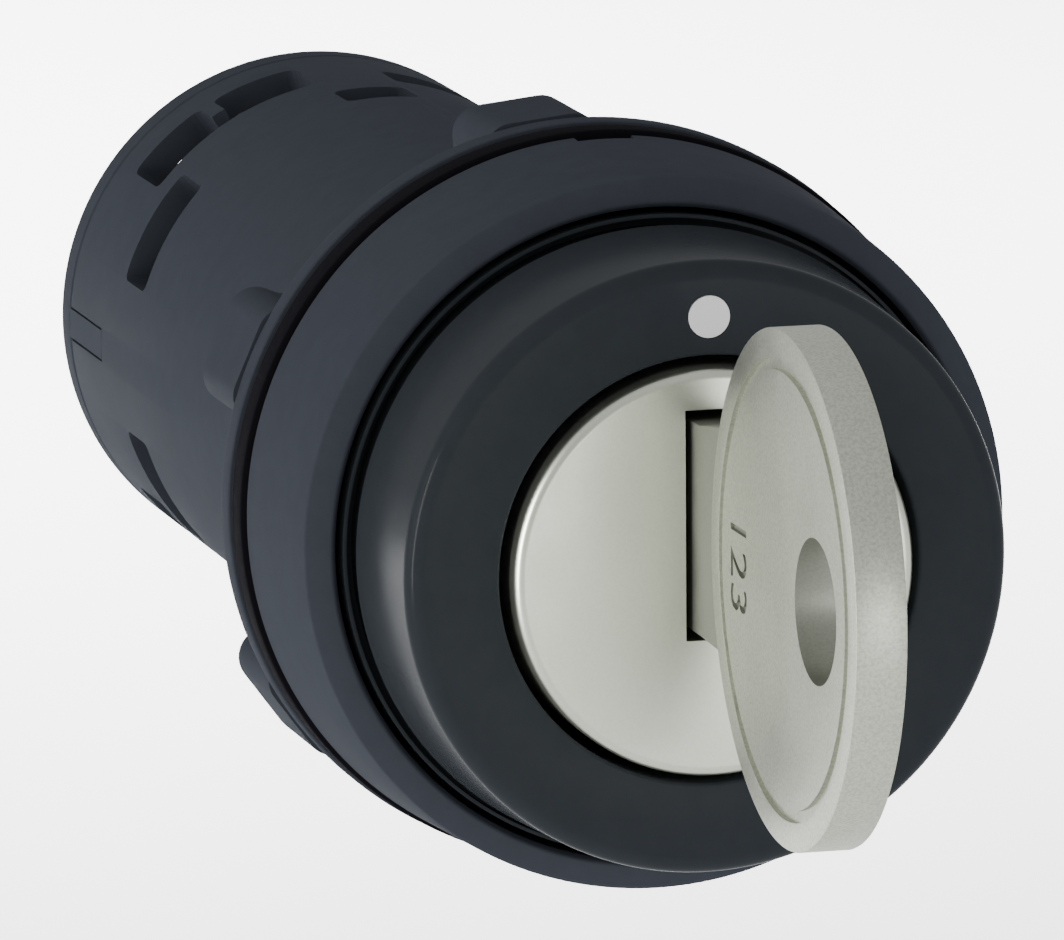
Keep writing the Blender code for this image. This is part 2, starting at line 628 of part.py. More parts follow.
def retaining_clip():
    """The C-shaped clip that holds the core in its sleeve."""
    clip = flat_ring("retaining_clip", (CLIP_GROOVE_RADIUS + 0.2 * MM, CLIP_RADIUS), CLIP, STEEL)
    mouth = bmesh.new()
    add_box(mouth, (-CLIP_MOUTH_HALF, CLIP_MOUTH_HALF), (CLIP[0] - GAP, CLIP[1] + GAP),
            (-CLIP_RADIUS - GAP, 0.0))
    shape("clip_mouth_cutter", mouth, clip, "DIFFERENCE")
    return clip


def ramp(middle, offset):
    """The helical surface of the cam and the follower near one of the two ramp centres."""
    return lambda angle: CAM_RAMP_MIDDLE + offset + RISE_PER_RADIAN * (angle - middle)


def cam():
    """The cam on the core's tail: two helical ramps behind a disc, and a notched rim."""
    mesh = bmesh.new()
    add_disc(mesh, CAM_RADIUS, (CAM_FRONT, CAM_FLOOR), RING_SIDES)
    wheel = piece("cam", mesh, GREY_PLASTIC)
    ramps = bmesh.new()
    for middle in (0.0, math.pi):
        add_sector(ramps, (CAM_RAMP_RADIUS, CAM_RADIUS - 0.05 * MM),
                   (middle - CAM_RAMP_HALF_ANGLE, middle + CAM_RAMP_HALF_ANGLE),
                   level(CAM_FLOOR - 0.5 * MM), ramp(middle, 0.0), 20)
    shape("ramp_joiner", ramps, wheel, "UNION")
    cuts = bmesh.new()
    half = CORE_TAIL_HALF + GAP
    add_box(cuts, (-half, half), (CAM_FRONT - GAP, CAM_FLOOR + GAP), (-half, half))
    for angle in (math.pi / 2 - TURN_LIMIT, math.pi / 2, math.pi / 2 + TURN_LIMIT):
        notch = polar(CAM_RADIUS + 0.5 * MM, angle, 0.0)
        add_disc(cuts, 0.9 * MM, (CAM_FRONT - GAP, CAM_FLOOR - 0.6 * MM), 12, (notch[0], notch[2]))
    shape("cam_cutter", cuts, wheel, "DIFFERENCE")
    return wheel


def blade_edge(base, y, sign):
    """Height of a blade edge at y: the blade narrows evenly towards its tip."""
    return base + sign * BLADE_TAPER * max(0.0, y - CORE_FACE)


def key():
    """The flat key: a round bow with a ring hole, a stem, and a blade with notched edges."""
    reach = math.asin((BLADE_HIGH + KEY_NECK_RISE - BOW_CENTRE_Z) / BOW_RADIUS)
    low_reach = math.asin((BOW_CENTRE_Z - BLADE_LOW + KEY_NECK_DROP) / BOW_RADIUS)
    shoulder = BLADE_TIP - BLADE_NOSE_LENGTH
    outline = arc((BOW_CENTRE_Y, BOW_CENTRE_Z), BOW_RADIUS, reach, 2 * math.pi - low_reach, 40)
    outline += [(CORE_FACE - 1.2 * MM, BLADE_LOW), (CORE_FACE, BLADE_LOW),
                (shoulder, blade_edge(BLADE_LOW, BLADE_TIP, 1)),
                (BLADE_TIP, BLADE_NOSE[0]), (BLADE_TIP, BLADE_NOSE[1]),
                (shoulder, blade_edge(BLADE_HIGH, BLADE_TIP, -1)),
                (CORE_FACE, BLADE_HIGH), (CORE_FACE - KEY_NECK_RISE, BLADE_HIGH)]
    mesh = bmesh.new()
    add_plate(mesh, outline, KEY_HALF_THICKNESS)
    made = piece("key", mesh, NICKEL)
    holes = bmesh.new()
    add_plate(holes, arc((BOW_HOLE_Y, BOW_CENTRE_Z), BOW_HOLE_RADIUS, 0.0, 2 * math.pi * 27 / 28, 27),
              KEY_HALF_THICKNESS + GAP)
    for index, place in enumerate(WAFER_PLACES[:3]):
        base, sign = ((BLADE_LOW, 1), (BLADE_HIGH, -1))[index % 2]
        edge = blade_edge(base, place, sign)
        open_edge = edge - sign * KEY_CUT_OVERLAP
        floor = edge + sign * (KEY_CUT_DEPTH + KEY_CUT_STEP * index)
        add_plate(holes, [(place - KEY_CUT_HALF[0], open_edge), (place + KEY_CUT_HALF[0], open_edge),
                          (place + KEY_CUT_HALF[1], floor), (place - KEY_CUT_HALF[1], floor)],
                  KEY_HALF_THICKNESS + 2 * GAP)
    shape("key_cutter", holes, made, "DIFFERENCE")
    return made


def wafer(name, place):
    """A locking plate with a window that the blade passes through."""
    corner = 0.8 * MM
    half_width = WAFER_HALF_WIDTH
    half_height = WAFER_HALF_HEIGHT
    outline = [(-half_width, corner - half_height), (corner - half_width, -half_height),
               (half_width - corner, -half_height), (half_width, corner - half_height),
               (half_width, half_height - corner), (half_width - corner, half_height),
               (corner - half_width, half_height), (-half_width, half_height - corner)]
    mesh = bmesh.new()
    add_prism(mesh, outline, (place - WAFER_HALF_THICKNESS, place + WAFER_HALF_THICKNESS))
    plate = piece(name, mesh, BRASS)
    window = bmesh.new()
    front = place - WAFER_HALF_THICKNESS
    add_box(window, (-WAFER_WINDOW_HALF, WAFER_WINDOW_HALF),
            (front - GAP, front + 2 * WAFER_HALF_THICKNESS + GAP),
            (blade_edge(BLADE_LOW, front, 1) - GAP, blade_edge(BLADE_HIGH, front, -1) + GAP))
    shape(name + "_window_cutter", window, plate, "DIFFERENCE")
    return plate


# ---------------------------------------------------------------- switching mechanism

def follower():
    """The plunger that the cam drives: two ramped feet, a guided disc, a stem and a snap head."""
    mesh = bmesh.new()
    add_turned(mesh, [(FOLLOWER_RADIUS, FOLLOWER_DISC[0]), (FOLLOWER_RADIUS, FOLLOWER_DISC[1]),
                      (STEM_RADIUS, FOLLOWER_DISC[1]), (STEM_RADIUS, STEM_REAR), (POST_RADIUS, STEM_REAR),
                      (POST_RADIUS, HEAD[0]), (HEAD_RADIUS, HEAD[0]), (POST_RADIUS, HEAD[1])])
    plunger = piece("follower", mesh, CREAM_PLASTIC)
    feet = bmesh.new()
    for middle in (0.0, math.pi):
        add_sector(feet, (CAM_RAMP_RADIUS + GAP, FOLLOWER_RADIUS - 0.05 * MM),
                   (middle - FOLLOWER_PAD_HALF_ANGLE, middle + FOLLOWER_PAD_HALF_ANGLE),
                   ramp(middle, GAP), level(FOLLOWER_DISC[0] + 0.5 * MM), 8)
    shape("feet_joiner", feet, plunger, "UNION")
    grooves = bmesh.new()
    for middle in (math.pi / 2, -math.pi / 2):
        half = PRONG_HALF_ANGLE + PRONG_GAP_ANGLE
        add_sector(grooves, (PRONG_RADIUS - GAP, FOLLOWER_RADIUS + GAP), (middle - half, middle + half),
                   level(FOLLOWER_DISC[0] - GAP), level(FOLLOWER_DISC[1] + GAP), 3)
    shape("guide_groove_cutter", grooves, plunger, "DIFFERENCE")
    return plunger


def return_spring():
    """The compression spring between the follower's disc and the carrier."""
    mesh = bmesh.new()
    steps = SPRING_TURNS * 16
    low = SPRING[0] + SPRING_WIRE
    high = SPRING[1] - SPRING_WIRE
    loops = []
    for step in range(steps + 1):
        turn = 2 * math.pi * SPRING_TURNS * step / steps
        middle = low + (high - low) * step / steps
        loops.append([polar(r, turn, y) for r, y in
                      arc((SPRING_RADIUS, middle), SPRING_WIRE, 0.0, 2 * math.pi * 5 / 6, 5)])
    add_loops(mesh, loops, False)
    return piece("return_spring", mesh, STEEL)


def contact_bridge():
    """The sprung strip that joins the two fixed contacts."""
    mesh = bmesh.new()
    half_length = BRIDGE_HALF_LENGTH
    half_width = BRIDGE_HALF_WIDTH
    add_box(mesh, (-half_length, half_length), BRIDGE, (-half_width, half_width))
    bridge = piece("contact_bridge", mesh, COPPER)
    hole = bmesh.new()
    add_disc(hole, POST_RADIUS + 0.2 * MM, (BRIDGE[0] - GAP, BRIDGE[1] + GAP), 20)
    shape("bridge_hole_cutter", hole, bridge, "DIFFERENCE")
    return bridge


# ---------------------------------------------------------------- panel nut

def panel_nut():
    """The nut behind the panel: a ring with six rounded grips and a shallow thread inside."""
    crest = NUT_BORE
    root = NUT_BORE + THREAD_DEPTH
    outline = [(crest, NUT[0]), (NUT_RADIUS, NUT[0]), (NUT_RADIUS, NUT[1]), (crest, NUT[1])]
    for turn in (1, 0):
        start = NUT[0] + 0.4 * MM + turn * THREAD_PITCH
        outline += [(crest, start + 0.9 * THREAD_PITCH), (root, start + 0.5 * THREAD_PITCH),
                    (crest, start + 0.1 * THREAD_PITCH)]
    mesh = bmesh.new()
    add_ring(mesh, outline)
    nut = piece("panel_nut", mesh, BLACK_PLASTIC)
    grips = bmesh.new()
    for index in range(LOBE_COUNT):
        middle = LOBE_FIRST + index * 2 * math.pi / LOBE_COUNT
        half = (LOBE_RADIUS - LOBE_CORNER) * math.sin(LOBE_HALF_ANGLE)
        top = LOBE_RADIUS - LOBE_CORNER
        foot = NUT_RADIUS - 0.7 * MM
        outline = [(-half - LOBE_CORNER, foot), (half + LOBE_CORNER, foot)]
        outline += arc((half, top), LOBE_CORNER, 0.0, math.pi / 2, 4)
        outline += arc((-half, top), LOBE_CORNER, math.pi / 2, math.pi, 4)
        turn = Matrix.Rotation(middle - math.pi / 2, 2)
        add_prism(grips, [tuple(turn @ Vector(point)) for point in outline],
                  (NUT[0] + 0.02 * MM, NUT[1] - 0.02 * MM))
    shape("grip_joiner", grips, nut, "UNION")
    return nut


def main():
    clear_scene()
    housing_shell()
    bezel_ring()
    flat_ring("panel_gasket", (BODY_RADIUS + GAP, GASKET_RADIUS), (BEZEL_REAR + GAP, 0.0), RUBBER)
    lock_sleeve()
    detent_spring()
    contact_carrier()
    terminal_block()
    rear_cover()
    selector_drum()
    round_ring("drum_seal", SEAL_RADIUS, SEAL_WIRE, SEAL_Y, RUBBER)
    index_dot()
    lock_core()
    round_ring("core_o_ring", CORE_RING_RADIUS, CORE_RING_WIRE, CORE_RING_Y, RUBBER)
    retaining_clip()
    cam()
    key()
    for index, place in enumerate(WAFER_PLACES):
        wafer("wafer_%d" % (index + 1), place)
    follower()
    return_spring()
    contact_bridge()
    for label, side in (("left", -1), ("right", 1)):
        fixed_contact("fixed_contact_" + label, side)
        contact_pad("fixed_pad_" + label, side, CONTACT_FRONT[0] - 0.1 * MM)
        contact_pad("moving_pad_" + label, side, BRIDGE[1] + 0.1 * MM + PAD_THICKNESS)
        clamp_plate("clamp_plate_" + label, side)
        terminal_screw("terminal_screw_" + label, side)
    flat_ring("thrust_washer", (NUT_BORE, WASHER_RADIUS), WASHER, BLACK_PLASTIC)
    panel_nut()


main()
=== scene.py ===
"""Looks, light and camera for a key-operated selector switch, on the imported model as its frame."""
import math

import bmesh
import bpy
from bpy.props import FloatProperty, FloatVectorProperty, IntProperty, PointerProperty, StringProperty
from mathutils import Matrix, Vector


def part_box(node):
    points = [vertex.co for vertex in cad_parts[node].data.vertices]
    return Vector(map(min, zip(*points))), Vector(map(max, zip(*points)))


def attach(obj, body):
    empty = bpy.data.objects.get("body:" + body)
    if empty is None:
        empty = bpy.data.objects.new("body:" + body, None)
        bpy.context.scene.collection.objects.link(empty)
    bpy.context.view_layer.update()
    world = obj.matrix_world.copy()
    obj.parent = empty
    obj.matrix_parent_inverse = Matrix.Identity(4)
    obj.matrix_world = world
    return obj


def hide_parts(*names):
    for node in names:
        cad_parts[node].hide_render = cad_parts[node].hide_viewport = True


bl_info = {
    "name": "Key selector switch",
    "version": (1, 0, 0),
    "blender": (4, 5, 0),
    "location": "3D View > Sidebar > Switch",
    "description": "Builds the visible pieces, finishes and studio of a panel-mounted key switch",
    "category": "Object",
}

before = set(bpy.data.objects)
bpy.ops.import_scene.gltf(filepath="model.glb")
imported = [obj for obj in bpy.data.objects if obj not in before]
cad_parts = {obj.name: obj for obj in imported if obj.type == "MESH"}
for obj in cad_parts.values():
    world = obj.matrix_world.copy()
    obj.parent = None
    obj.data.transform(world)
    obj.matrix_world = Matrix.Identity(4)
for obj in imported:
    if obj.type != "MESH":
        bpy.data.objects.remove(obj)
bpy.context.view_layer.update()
MM = 0.001
FULL_TURN = 2 * math.pi
FINE_SIDES = 192
FACE_SIDES = 256
WEDGE_STEPS = 24
SHARP_ANGLE = math.radians(32)
SOFTENED_ANGLE = math.radians(40)
MOST_OF_SIDE = 0.45  # the most of an outline's side that a rounded corner takes
SAME_PLACE = 1e-7
OVERCUT = 1.0 * MM  # how far a cutter runs past what it cuts
SHORT_OVERCUT = 0.5 * MM
COLOUR_A, COLOUR_B, COLOUR_RESULT = 6, 7, 2  # the Mix node's colour sockets


# ---------------------------------------------------------------- settings

def size(name, millimetres, description):
    """A length setting, given in millimetres and stored in metres."""
    return FloatProperty(name=name, description=description, default=millimetres * MM,
                         precision=5, unit="LENGTH")


def turn(name, degrees, description):
    """An angle setting, given in degrees and stored in radians."""
    return FloatProperty(name=name, description=description, default=math.radians(degrees),
                         unit="ROTATION")


def colour(name, value, description):
    """A colour setting in linear red, green and blue."""
    return FloatVectorProperty(name=name, description=description, default=value, size=3,
                               min=0.0, max=1.0, subtype="COLOR")


class BodySizes(bpy.types.PropertyGroup):
    """Sizes of the pieces that stay still."""
    tube_radius: size("Tube radius", 11.0, "Outside of the body behind the panel")
    tube_bore: size("Tube bore", 9.8, "Inside of the body behind the panel")
    tube_rear: size("Tube end", 44.6, "Where the body meets the rear cover")
    thread_pitch: size("Thread pitch", 2.0, "Distance between thread ridges")
    thread_depth: size("Thread depth", 0.4, "Height of the thread ridge")
    thread_start: size("Thread start", 0.8, "Front end of the thread")
    thread_turns: IntProperty(name="Thread turns", description="Number of thread ridges", default=6)
    flange_radius: size("Front flange radius", 12.5, "Flange that the bezel hooks behind")
    bezel_radius: size("Bezel radius", 14.5, "Bezel at its rear edge")
    bezel_front_radius: size("Bezel front radius", 14.05, "Bezel at its front outer edge")
    bezel_mouth_radius: size("Bezel mouth radius", 13.03, "Inner edge of the bezel's front")
    gasket_radius: size("Gasket radius", 14.66, "Outside of the rubber gasket")
    slot_corner: size("Opening corner", 0.5, "Rounding of the side openings' corners")
    cover_edge: size("Cover edge", 0.5, "Rounding of the rear cover's rim")
    tongue_width: size("Tongue width", 1.24, "Width of the rear cover's side tongues")
    tongue_front: size("Tongue front", 38.9, "Front end of the rear cover's side tongues")


class NutSizes(bpy.types.PropertyGroup):
    """Sizes of the nut and its washer."""
    bore: size("Bore", 11.3, "Inside of the nut and washer")
    ring_radius: size("Ring radius", 12.9, "Outside of the nut between its grips")
    grip_radius: size("Grip radius", 14.85, "Outside of the nut at its grips")
    grip_half_top: size("Grip half top", 1.25, "Half the flat width of a grip's top")
    grip_corner: size("Grip corner", 1.15, "Rounding of a grip's outer corners")
    grip_foot: size("Grip foot", 0.8, "Hollow rounding at a grip's foot")
    first_grip: turn("First grip", 96.5, "Where the first grip lies")
    grips: IntProperty(name="Grips", description="Number of grips round the nut", default=6)


class SelectorSizes(bpy.types.PropertyGroup):
    """Sizes of the turning drum and the lock in it."""
    drum_base_radius: size("Drum base radius", 12.6, "Drum where it enters the bezel")
    drum_edge_radius: size("Drum edge radius", 11.92, "Drum at its front edge")
    drum_fillet: size("Drum fillet", 0.75, "Rounding of the drum's front edge")
    drum_bore: size("Drum bore", 8.3, "Hole in the drum round the lock")
    lock_radius: size("Lock radius", 7.9, "Outside of the lock's face")
    lock_fillet: size("Lock fillet", 0.4, "Rounding of the lock's front edge")
    keyway_half_width: size("Keyway half width", 1.18, "Half the width of the slot for the key")
    keyway_low: size("Keyway bottom", -2.56, "Bottom of the slot for the key")
    keyway_high: size("Keyway top", 6.36, "Top of the slot for the key")
    dot_radius: size("Dot radius", 0.82, "Radius of the white mark")
    dot_height: size("Dot height", 9.8, "Height of the white mark above the axis")


class KeySizes(bpy.types.PropertyGroup):
    """Sizes of the key."""
    half_thickness: size("Half thickness", 0.97, "Half the key's thickness")
    bow_radius: size("Bow radius", 9.77, "Radius of the round bow")
    bow_centre_y: size("Bow centre", -30.32, "Place of the bow's centre along the axis")
    bow_centre_z: size("Bow height", 1.74, "Height of the bow's centre")
    hole_y: size("Hole centre", -34.71, "Place of the ring hole's centre along the axis")
    hole_radius: size("Hole radius", 2.74, "Radius of the ring hole")
    groove_radius: size("Groove radius", 8.44, "Radius of the line round the bow's faces")
    groove_width: size("Groove width", 0.45, "Width of the line round the bow's faces")
    groove_depth: size("Groove depth", 0.2, "Depth of the line round the bow's faces")
    blade_step: size("Blade step", 0.05, "How far the blade's sides lie below the bow's faces")
    blade_low: size("Blade bottom", -2.2, "Lower edge of the blade at the lock's face")
    blade_high: size("Blade top", 5.95, "Upper edge of the blade at the lock's face")
    blade_tip: size("Blade tip", 4.8, "Inner end of the blade")
    number: StringProperty(name="Number", description="Generic number cut into the bow", default="123")
    number_height: size("Number height", 2.2, "Height of the digits")


class Finishes(bpy.types.PropertyGroup):
    """Colours of the materials."""
    body_plastic: colour("Body plastic", (0.053, 0.059, 0.073), "Matte moulding of the body and bezel")
    drum_plastic: colour("Drum plastic", (0.033, 0.038, 0.044), "Satin moulding of the drum")
    rubber: colour("Rubber", (0.010, 0.009, 0.012), "Gasket and seals")
    nickel: colour("Nickel", (0.565, 0.585, 0.50), "Plated key and lock")
    white_mark: colour("White mark", (0.95, 0.95, 0.95), "Dot on the drum")
    inner_plastic: colour("Inner plastic", (0.022, 0.025, 0.030), "Mouldings inside the body")
    brass: colour("Brass", (0.62, 0.44, 0.18), "Lock sleeve and wafers")
    copper: colour("Copper", (0.62, 0.31, 0.18), "Contact strips")
    silver: colour("Silver", (0.80, 0.79, 0.76), "Contact rivets")
    steel: colour("Steel", (0.46, 0.46, 0.47), "Screws, clamps and springs")
    floor: colour("Floor", (0.92, 0.92, 0.92), "Studio floor")


# ---------------------------------------------------------------- shape helpers

def ends(name):
    """Front and rear end of a frame node along the switch's axis."""
    low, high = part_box(name)
    return low[1], high[1]


def rectangle(across, along):
    """The corners of a rectangle between two u and two v values."""
    return [(across[0], along[0]), (across[1], along[0]), (across[1], along[1]), (across[0], along[1])]


def filleted(outline, radius, steps=3):
    """A closed outline of (u, v) points with each corner rounded, as far as its sides allow."""
    points = []
    count = len(outline)
    for index, here in enumerate(outline):
        here = Vector(here)
        before = Vector(outline[index - 1]) - here
        after = Vector(outline[(index + 1) % count]) - here
        angle = before.angle(after, math.pi)
        reach = min(radius / max(math.tan(angle / 2), 1e-6), MOST_OF_SIDE * before.length,
                    MOST_OF_SIDE * after.length)
        start = here + before.normalized() * reach
        end = here + after.normalized() * reach
        for step in range(steps + 1):
            way = step / steps
            points.append((1 - way) ** 2 * start + 2 * way * (1 - way) * here + way ** 2 * end)
    return points


def arc(centre, radius, first, last, steps):
    """Points on an arc, with both ends."""
    return [Vector((centre[0] + radius * math.cos(first + (last - first) * step / steps),
                    centre[1] + radius * math.sin(first + (last - first) * step / steps)))
            for step in range(steps + 1)]


def turned(outline, closed=True, sides=FINE_SIDES):
    """Spin a (radius, y) outline about the Y axis."""
    mesh = bmesh.new()
    corners = [mesh.verts.new((point[0], point[1], 0.0)) for point in outline]
    for here, there in zip(corners, corners[1:]):
        mesh.edges.new((here, there))
    if closed:
        mesh.edges.new((corners[-1], corners[0]))
    bmesh.ops.spin(mesh, geom=mesh.verts[:] + mesh.edges[:], cent=(0, 0, 0), axis=(0, 1, 0),
                   angle=FULL_TURN, steps=sides, use_merge=True, use_duplicate=False)
    bmesh.ops.remove_doubles(mesh, verts=mesh.verts, dist=SAME_PLACE)
    bmesh.ops.recalc_face_normals(mesh, faces=mesh.faces)
    return mesh


def extruded(outline, place, depth):
    """Extrude a closed (u, v) outline: place turns (u, v, 0) into space, depth is the way to go."""
    mesh = bmesh.new()
    face = mesh.faces.new([mesh.verts.new(place @ Vector((point[0], point[1], 0.0))) for point in outline])
    grown = bmesh.ops.extrude_face_region(mesh, geom=[face])
    moved = [item for item in grown["geom"] if isinstance(item, bmesh.types.BMVert)]
    bmesh.ops.translate(mesh, verts=moved, vec=depth)
    bmesh.ops.recalc_face_normals(mesh, faces=mesh.faces)
    return mesh


def block(low, high):
    """A box between two corners."""
    mesh = bmesh.new()
    middle = (Vector(low) + Vector(high)) / 2
    sides = Vector(high) - Vector(low)
    bmesh.ops.create_cube(mesh, size=1.0, matrix=Matrix.Translation(middle) @ Matrix.Diagonal((*sides, 1.0)))
    return mesh


def bar(radius, start, end, centre=(0.0, 0.0), sides=48):
    """A round bar along Y."""
    mesh = bmesh.new()
    middle = Matrix.Translation((centre[0], (start + end) / 2, centre[1]))
    bmesh.ops.create_cone(mesh, cap_ends=True, segments=sides, radius1=radius, radius2=radius,
                          depth=abs(end - start), matrix=middle @ Matrix.Rotation(math.pi / 2, 4, "X"))
    return mesh


def wedge(radii, angles, span, corner):
    """A piece of a ring with rounded ends, for cutting openings: angles and the y span set its window."""
    middle = sum(radii) / 2
    half = middle * (angles[1] - angles[0]) / 2
    outline = filleted(rectangle((-half, half), span), corner, 4)
    mesh = extruded(outline, Matrix.Identity(4), Vector((0, 0, radii[1] - radii[0])))
    centre = (angles[0] + angles[1]) / 2
    for step in range(1, WEDGE_STEPS):
        cut = half * (2 * step / WEDGE_STEPS - 1)
        bmesh.ops.bisect_plane(mesh, geom=mesh.verts[:] + mesh.edges[:] + mesh.faces[:],
                               plane_co=(cut, 0, 0), plane_no=(1, 0, 0), dist=1e-8)
    for vert in mesh.verts:
        place = vert.co.copy()
        angle = centre - place.x / middle
        radius = radii[0] + place.z
        vert.co = (radius * math.cos(angle), place.y, radius * math.sin(angle))
    bmesh.ops.recalc_face_normals(mesh, faces=mesh.faces)
    return mesh


def as_object(name, mesh):
    """Put a bmesh into the scene."""
    data = bpy.data.meshes.new(name)
    mesh.to_mesh(data)
    mesh.free()
    made = bpy.data.objects.new(name, data)
    bpy.context.scene.collection.objects.link(made)
    return made


def worked(piece, tools, operation="DIFFERENCE"):
    """Cut tools out of a piece, or join them on, and keep the result as its mesh."""
    for number, tool in enumerate(tools):
        cutter = as_object("tool_%d" % number, tool)
        change = piece.modifiers.new("work", "BOOLEAN")
        change.operation = operation
        change.solver = "EXACT"
        change.object = cutter
        graph = bpy.context.evaluated_depsgraph_get()
        result = bpy.data.meshes.new_from_object(piece.evaluated_get(graph))
        piece.modifiers.clear()
        piece.data = result
        bpy.data.objects.remove(cutter, do_unlink=True)
        if not result.polygons:
            raise RuntimeError("%s was lost while it was cut" % piece.name)


def dressed(piece, finish, body, nodes=(), soften=0.0, segments=2):
    """Shade, soften and paint a piece, hang it on the empty of the body that it rides on, and hide the frame
    nodes that it stands for.
    """
    piece.data.materials.clear()
    piece.data.materials.append(finish)
    piece.data.shade_smooth()
    piece.data.set_sharp_from_angle(angle=SHARP_ANGLE)
    if soften:
        edges = piece.modifiers.new("soft edges", "BEVEL")
        edges.width = soften
        edges.segments = segments
        edges.limit_method = "ANGLE"
        edges.angle_limit = SOFTENED_ANGLE
        edges.harden_normals = True
    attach(piece, body)
    if nodes:
        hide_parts(*nodes)
    return piece


# ---------------------------------------------------------------- surface effects

def effect(name, inputs):
    """A surface effect with named inputs, each with its default: its tree, input, output and place."""
    group = bpy.data.node_groups.new(name, "ShaderNodeTree")
    for label, value in inputs.items():
        kind = "NodeSocketColor" if isinstance(value, tuple) else "NodeSocketFloat"
        socket = group.interface.new_socket(label, in_out="INPUT", socket_type=kind)
        socket.default_value = value
    for label, kind in (("Colour", "Color"), ("Roughness", "Float"), ("Height", "Float")):
        group.interface.new_socket(label, in_out="OUTPUT", socket_type="NodeSocket" + kind)
    start = group.nodes.new("NodeGroupInput")
    end = group.nodes.new("NodeGroupOutput")
    return group, start.outputs, end.inputs, group.nodes.new("ShaderNodeTexCoord").outputs["Object"]


def added(tree, kind, settings=None, values=None):
    """A node with its settings and input values."""
    node = tree.nodes.new(kind)
    for label, value in (settings or {}).items():
        setattr(node, label, value)
    for label, value in (values or {}).items():
        node.inputs[label].default_value = value
    return node


def noise(tree, place, scale, detail, roughness=0.55):
    """A noise texture whose scale can be a number or a socket."""
    node = added(tree, "ShaderNodeTexNoise", {}, {"Detail": detail, "Roughness": roughness})
    tree.links.new(place, node.inputs["Vector"])
    if isinstance(scale, float):
        node.inputs["Scale"].default_value = scale
    else:
        tree.links.new(scale, node.inputs["Scale"])
    return node.outputs["Fac"]


def scaled(tree, value, low, high, frm=(0.0, 1.0)):
    """Map a value from one range to another; each end can be a number or a socket."""
    node = added(tree, "ShaderNodeMapRange", {"clamp": True})
    tree.links.new(value, node.inputs["Value"])
    for label, end in (("From Min", frm[0]), ("From Max", frm[1]), ("To Min", low), ("To Max", high)):
        if isinstance(end, (int, float)):
            node.inputs[label].default_value = end
        else:
            tree.links.new(end, node.inputs[label])
    return node.outputs["Result"]


def combined(tree, operation, first, second):
    """Two values put together by a Math node."""
    node = added(tree, "ShaderNodeMath", {"operation": operation})
    for index, value in enumerate((first, second)):
        if isinstance(value, (int, float)):
            node.inputs[index].default_value = value
        else:
            tree.links.new(value, node.inputs[index])
    return node.outputs["Value"]


def toned(tree, colour, where, change, span):
    """A colour that is darker in places: where picks them and change says by how much."""
    tone = scaled(tree, where, combined(tree, "SUBTRACT", 1.0, change), 1.0, span)
    shade = added(tree, "ShaderNodeCombineColor")
    for channel in ("Red", "Green", "Blue"):
        tree.links.new(tone, shade.inputs[channel])
    mix = added(tree, "ShaderNodeMix", {"data_type": "RGBA", "blend_type": "MULTIPLY"}, {"Factor": 1.0})
    tree.links.new(colour, mix.inputs[COLOUR_A])
    tree.links.new(shade.outputs["Color"], mix.inputs[COLOUR_B])
    return mix.outputs[COLOUR_RESULT]


def moulded_grain():
    """Spark-eroded grain of a moulding: fine height, patchy gloss and a slight change of tone."""
    group, given, wanted, place = effect("moulded_grain", {
        "Colour": (0.05, 0.05, 0.05, 1.0), "Scale": 9000.0, "Gloss low": 0.4, "Gloss high": 0.5,
        "Tone change": 0.06})
    fine = noise(group, place, given["Scale"], 2.0)
    patches = noise(group, place, 140.0, 3.0)
    marks = noise(group, place, 900.0, 4.0, 0.65)
    gloss = combined(group, "ADD", combined(group, "MULTIPLY", patches, 0.7),
                     combined(group, "MULTIPLY", marks, 0.3))
    rough = scaled(group, gloss, given["Gloss low"], given["Gloss high"], (0.3, 0.7))
    tint = toned(group, given["Colour"], marks, given["Tone change"], (0.35, 0.65))
    group.links.new(tint, wanted["Colour"])
    group.links.new(rough, wanted["Roughness"])
    group.links.new(fine, wanted["Height"])
    return group


def blasted_metal():
    """Bead-blasted plating: soft dimples, cloudy gloss and a fine speckle in the tone."""
    group, given, wanted, place = effect("blasted_metal", {
        "Colour": (0.6, 0.6, 0.55, 1.0), "Scale": 2600.0, "Gloss low": 0.3, "Gloss high": 0.42,
        "Tone change": 0.1})
    dimples = noise(group, place, given["Scale"], 3.0, 0.6)
    clouds = noise(group, place, 210.0, 3.0)
    speckle = noise(group, place, 8500.0, 2.0, 0.7)
    rough = scaled(group, clouds, given["Gloss low"], given["Gloss high"], (0.3, 0.7))
    tint = toned(group, given["Colour"], speckle, given["Tone change"], (0.35, 0.6))
    group.links.new(tint, wanted["Colour"])
    group.links.new(rough, wanted["Roughness"])
    group.links.new(dimples, wanted["Height"])
    return group


def finish(name, group, tint, scale, gloss, tone, bump, metallic, specular):
    """A material that takes its colour, gloss and height, in millimetres, from a surface effect."""
    made = bpy.data.materials.new(name)
    made.use_nodes = True
    tree = made.node_tree
    shader = tree.nodes["Principled BSDF"]
    shader.inputs["Metallic"].default_value = metallic
    shader.inputs["Specular IOR Level"].default_value = specular
    surface = added(tree, "ShaderNodeGroup", {"node_tree": group}, {
        "Scale": scale, "Gloss low": gloss[0], "Gloss high": gloss[1], "Tone change": tone})
    surface.inputs["Colour"].default_value = (*tint, 1.0)
    tree.links.new(surface.outputs["Colour"], shader.inputs["Base Color"])
    tree.links.new(surface.outputs["Roughness"], shader.inputs["Roughness"])
    relief = added(tree, "ShaderNodeBump", {}, {"Strength": 1.0, "Distance": bump * MM})
    tree.links.new(surface.outputs["Height"], relief.inputs["Height"])
    tree.links.new(relief.outputs["Normal"], shader.inputs["Normal"])
    made.diffuse_color = (*tint, 1.0)
    return made


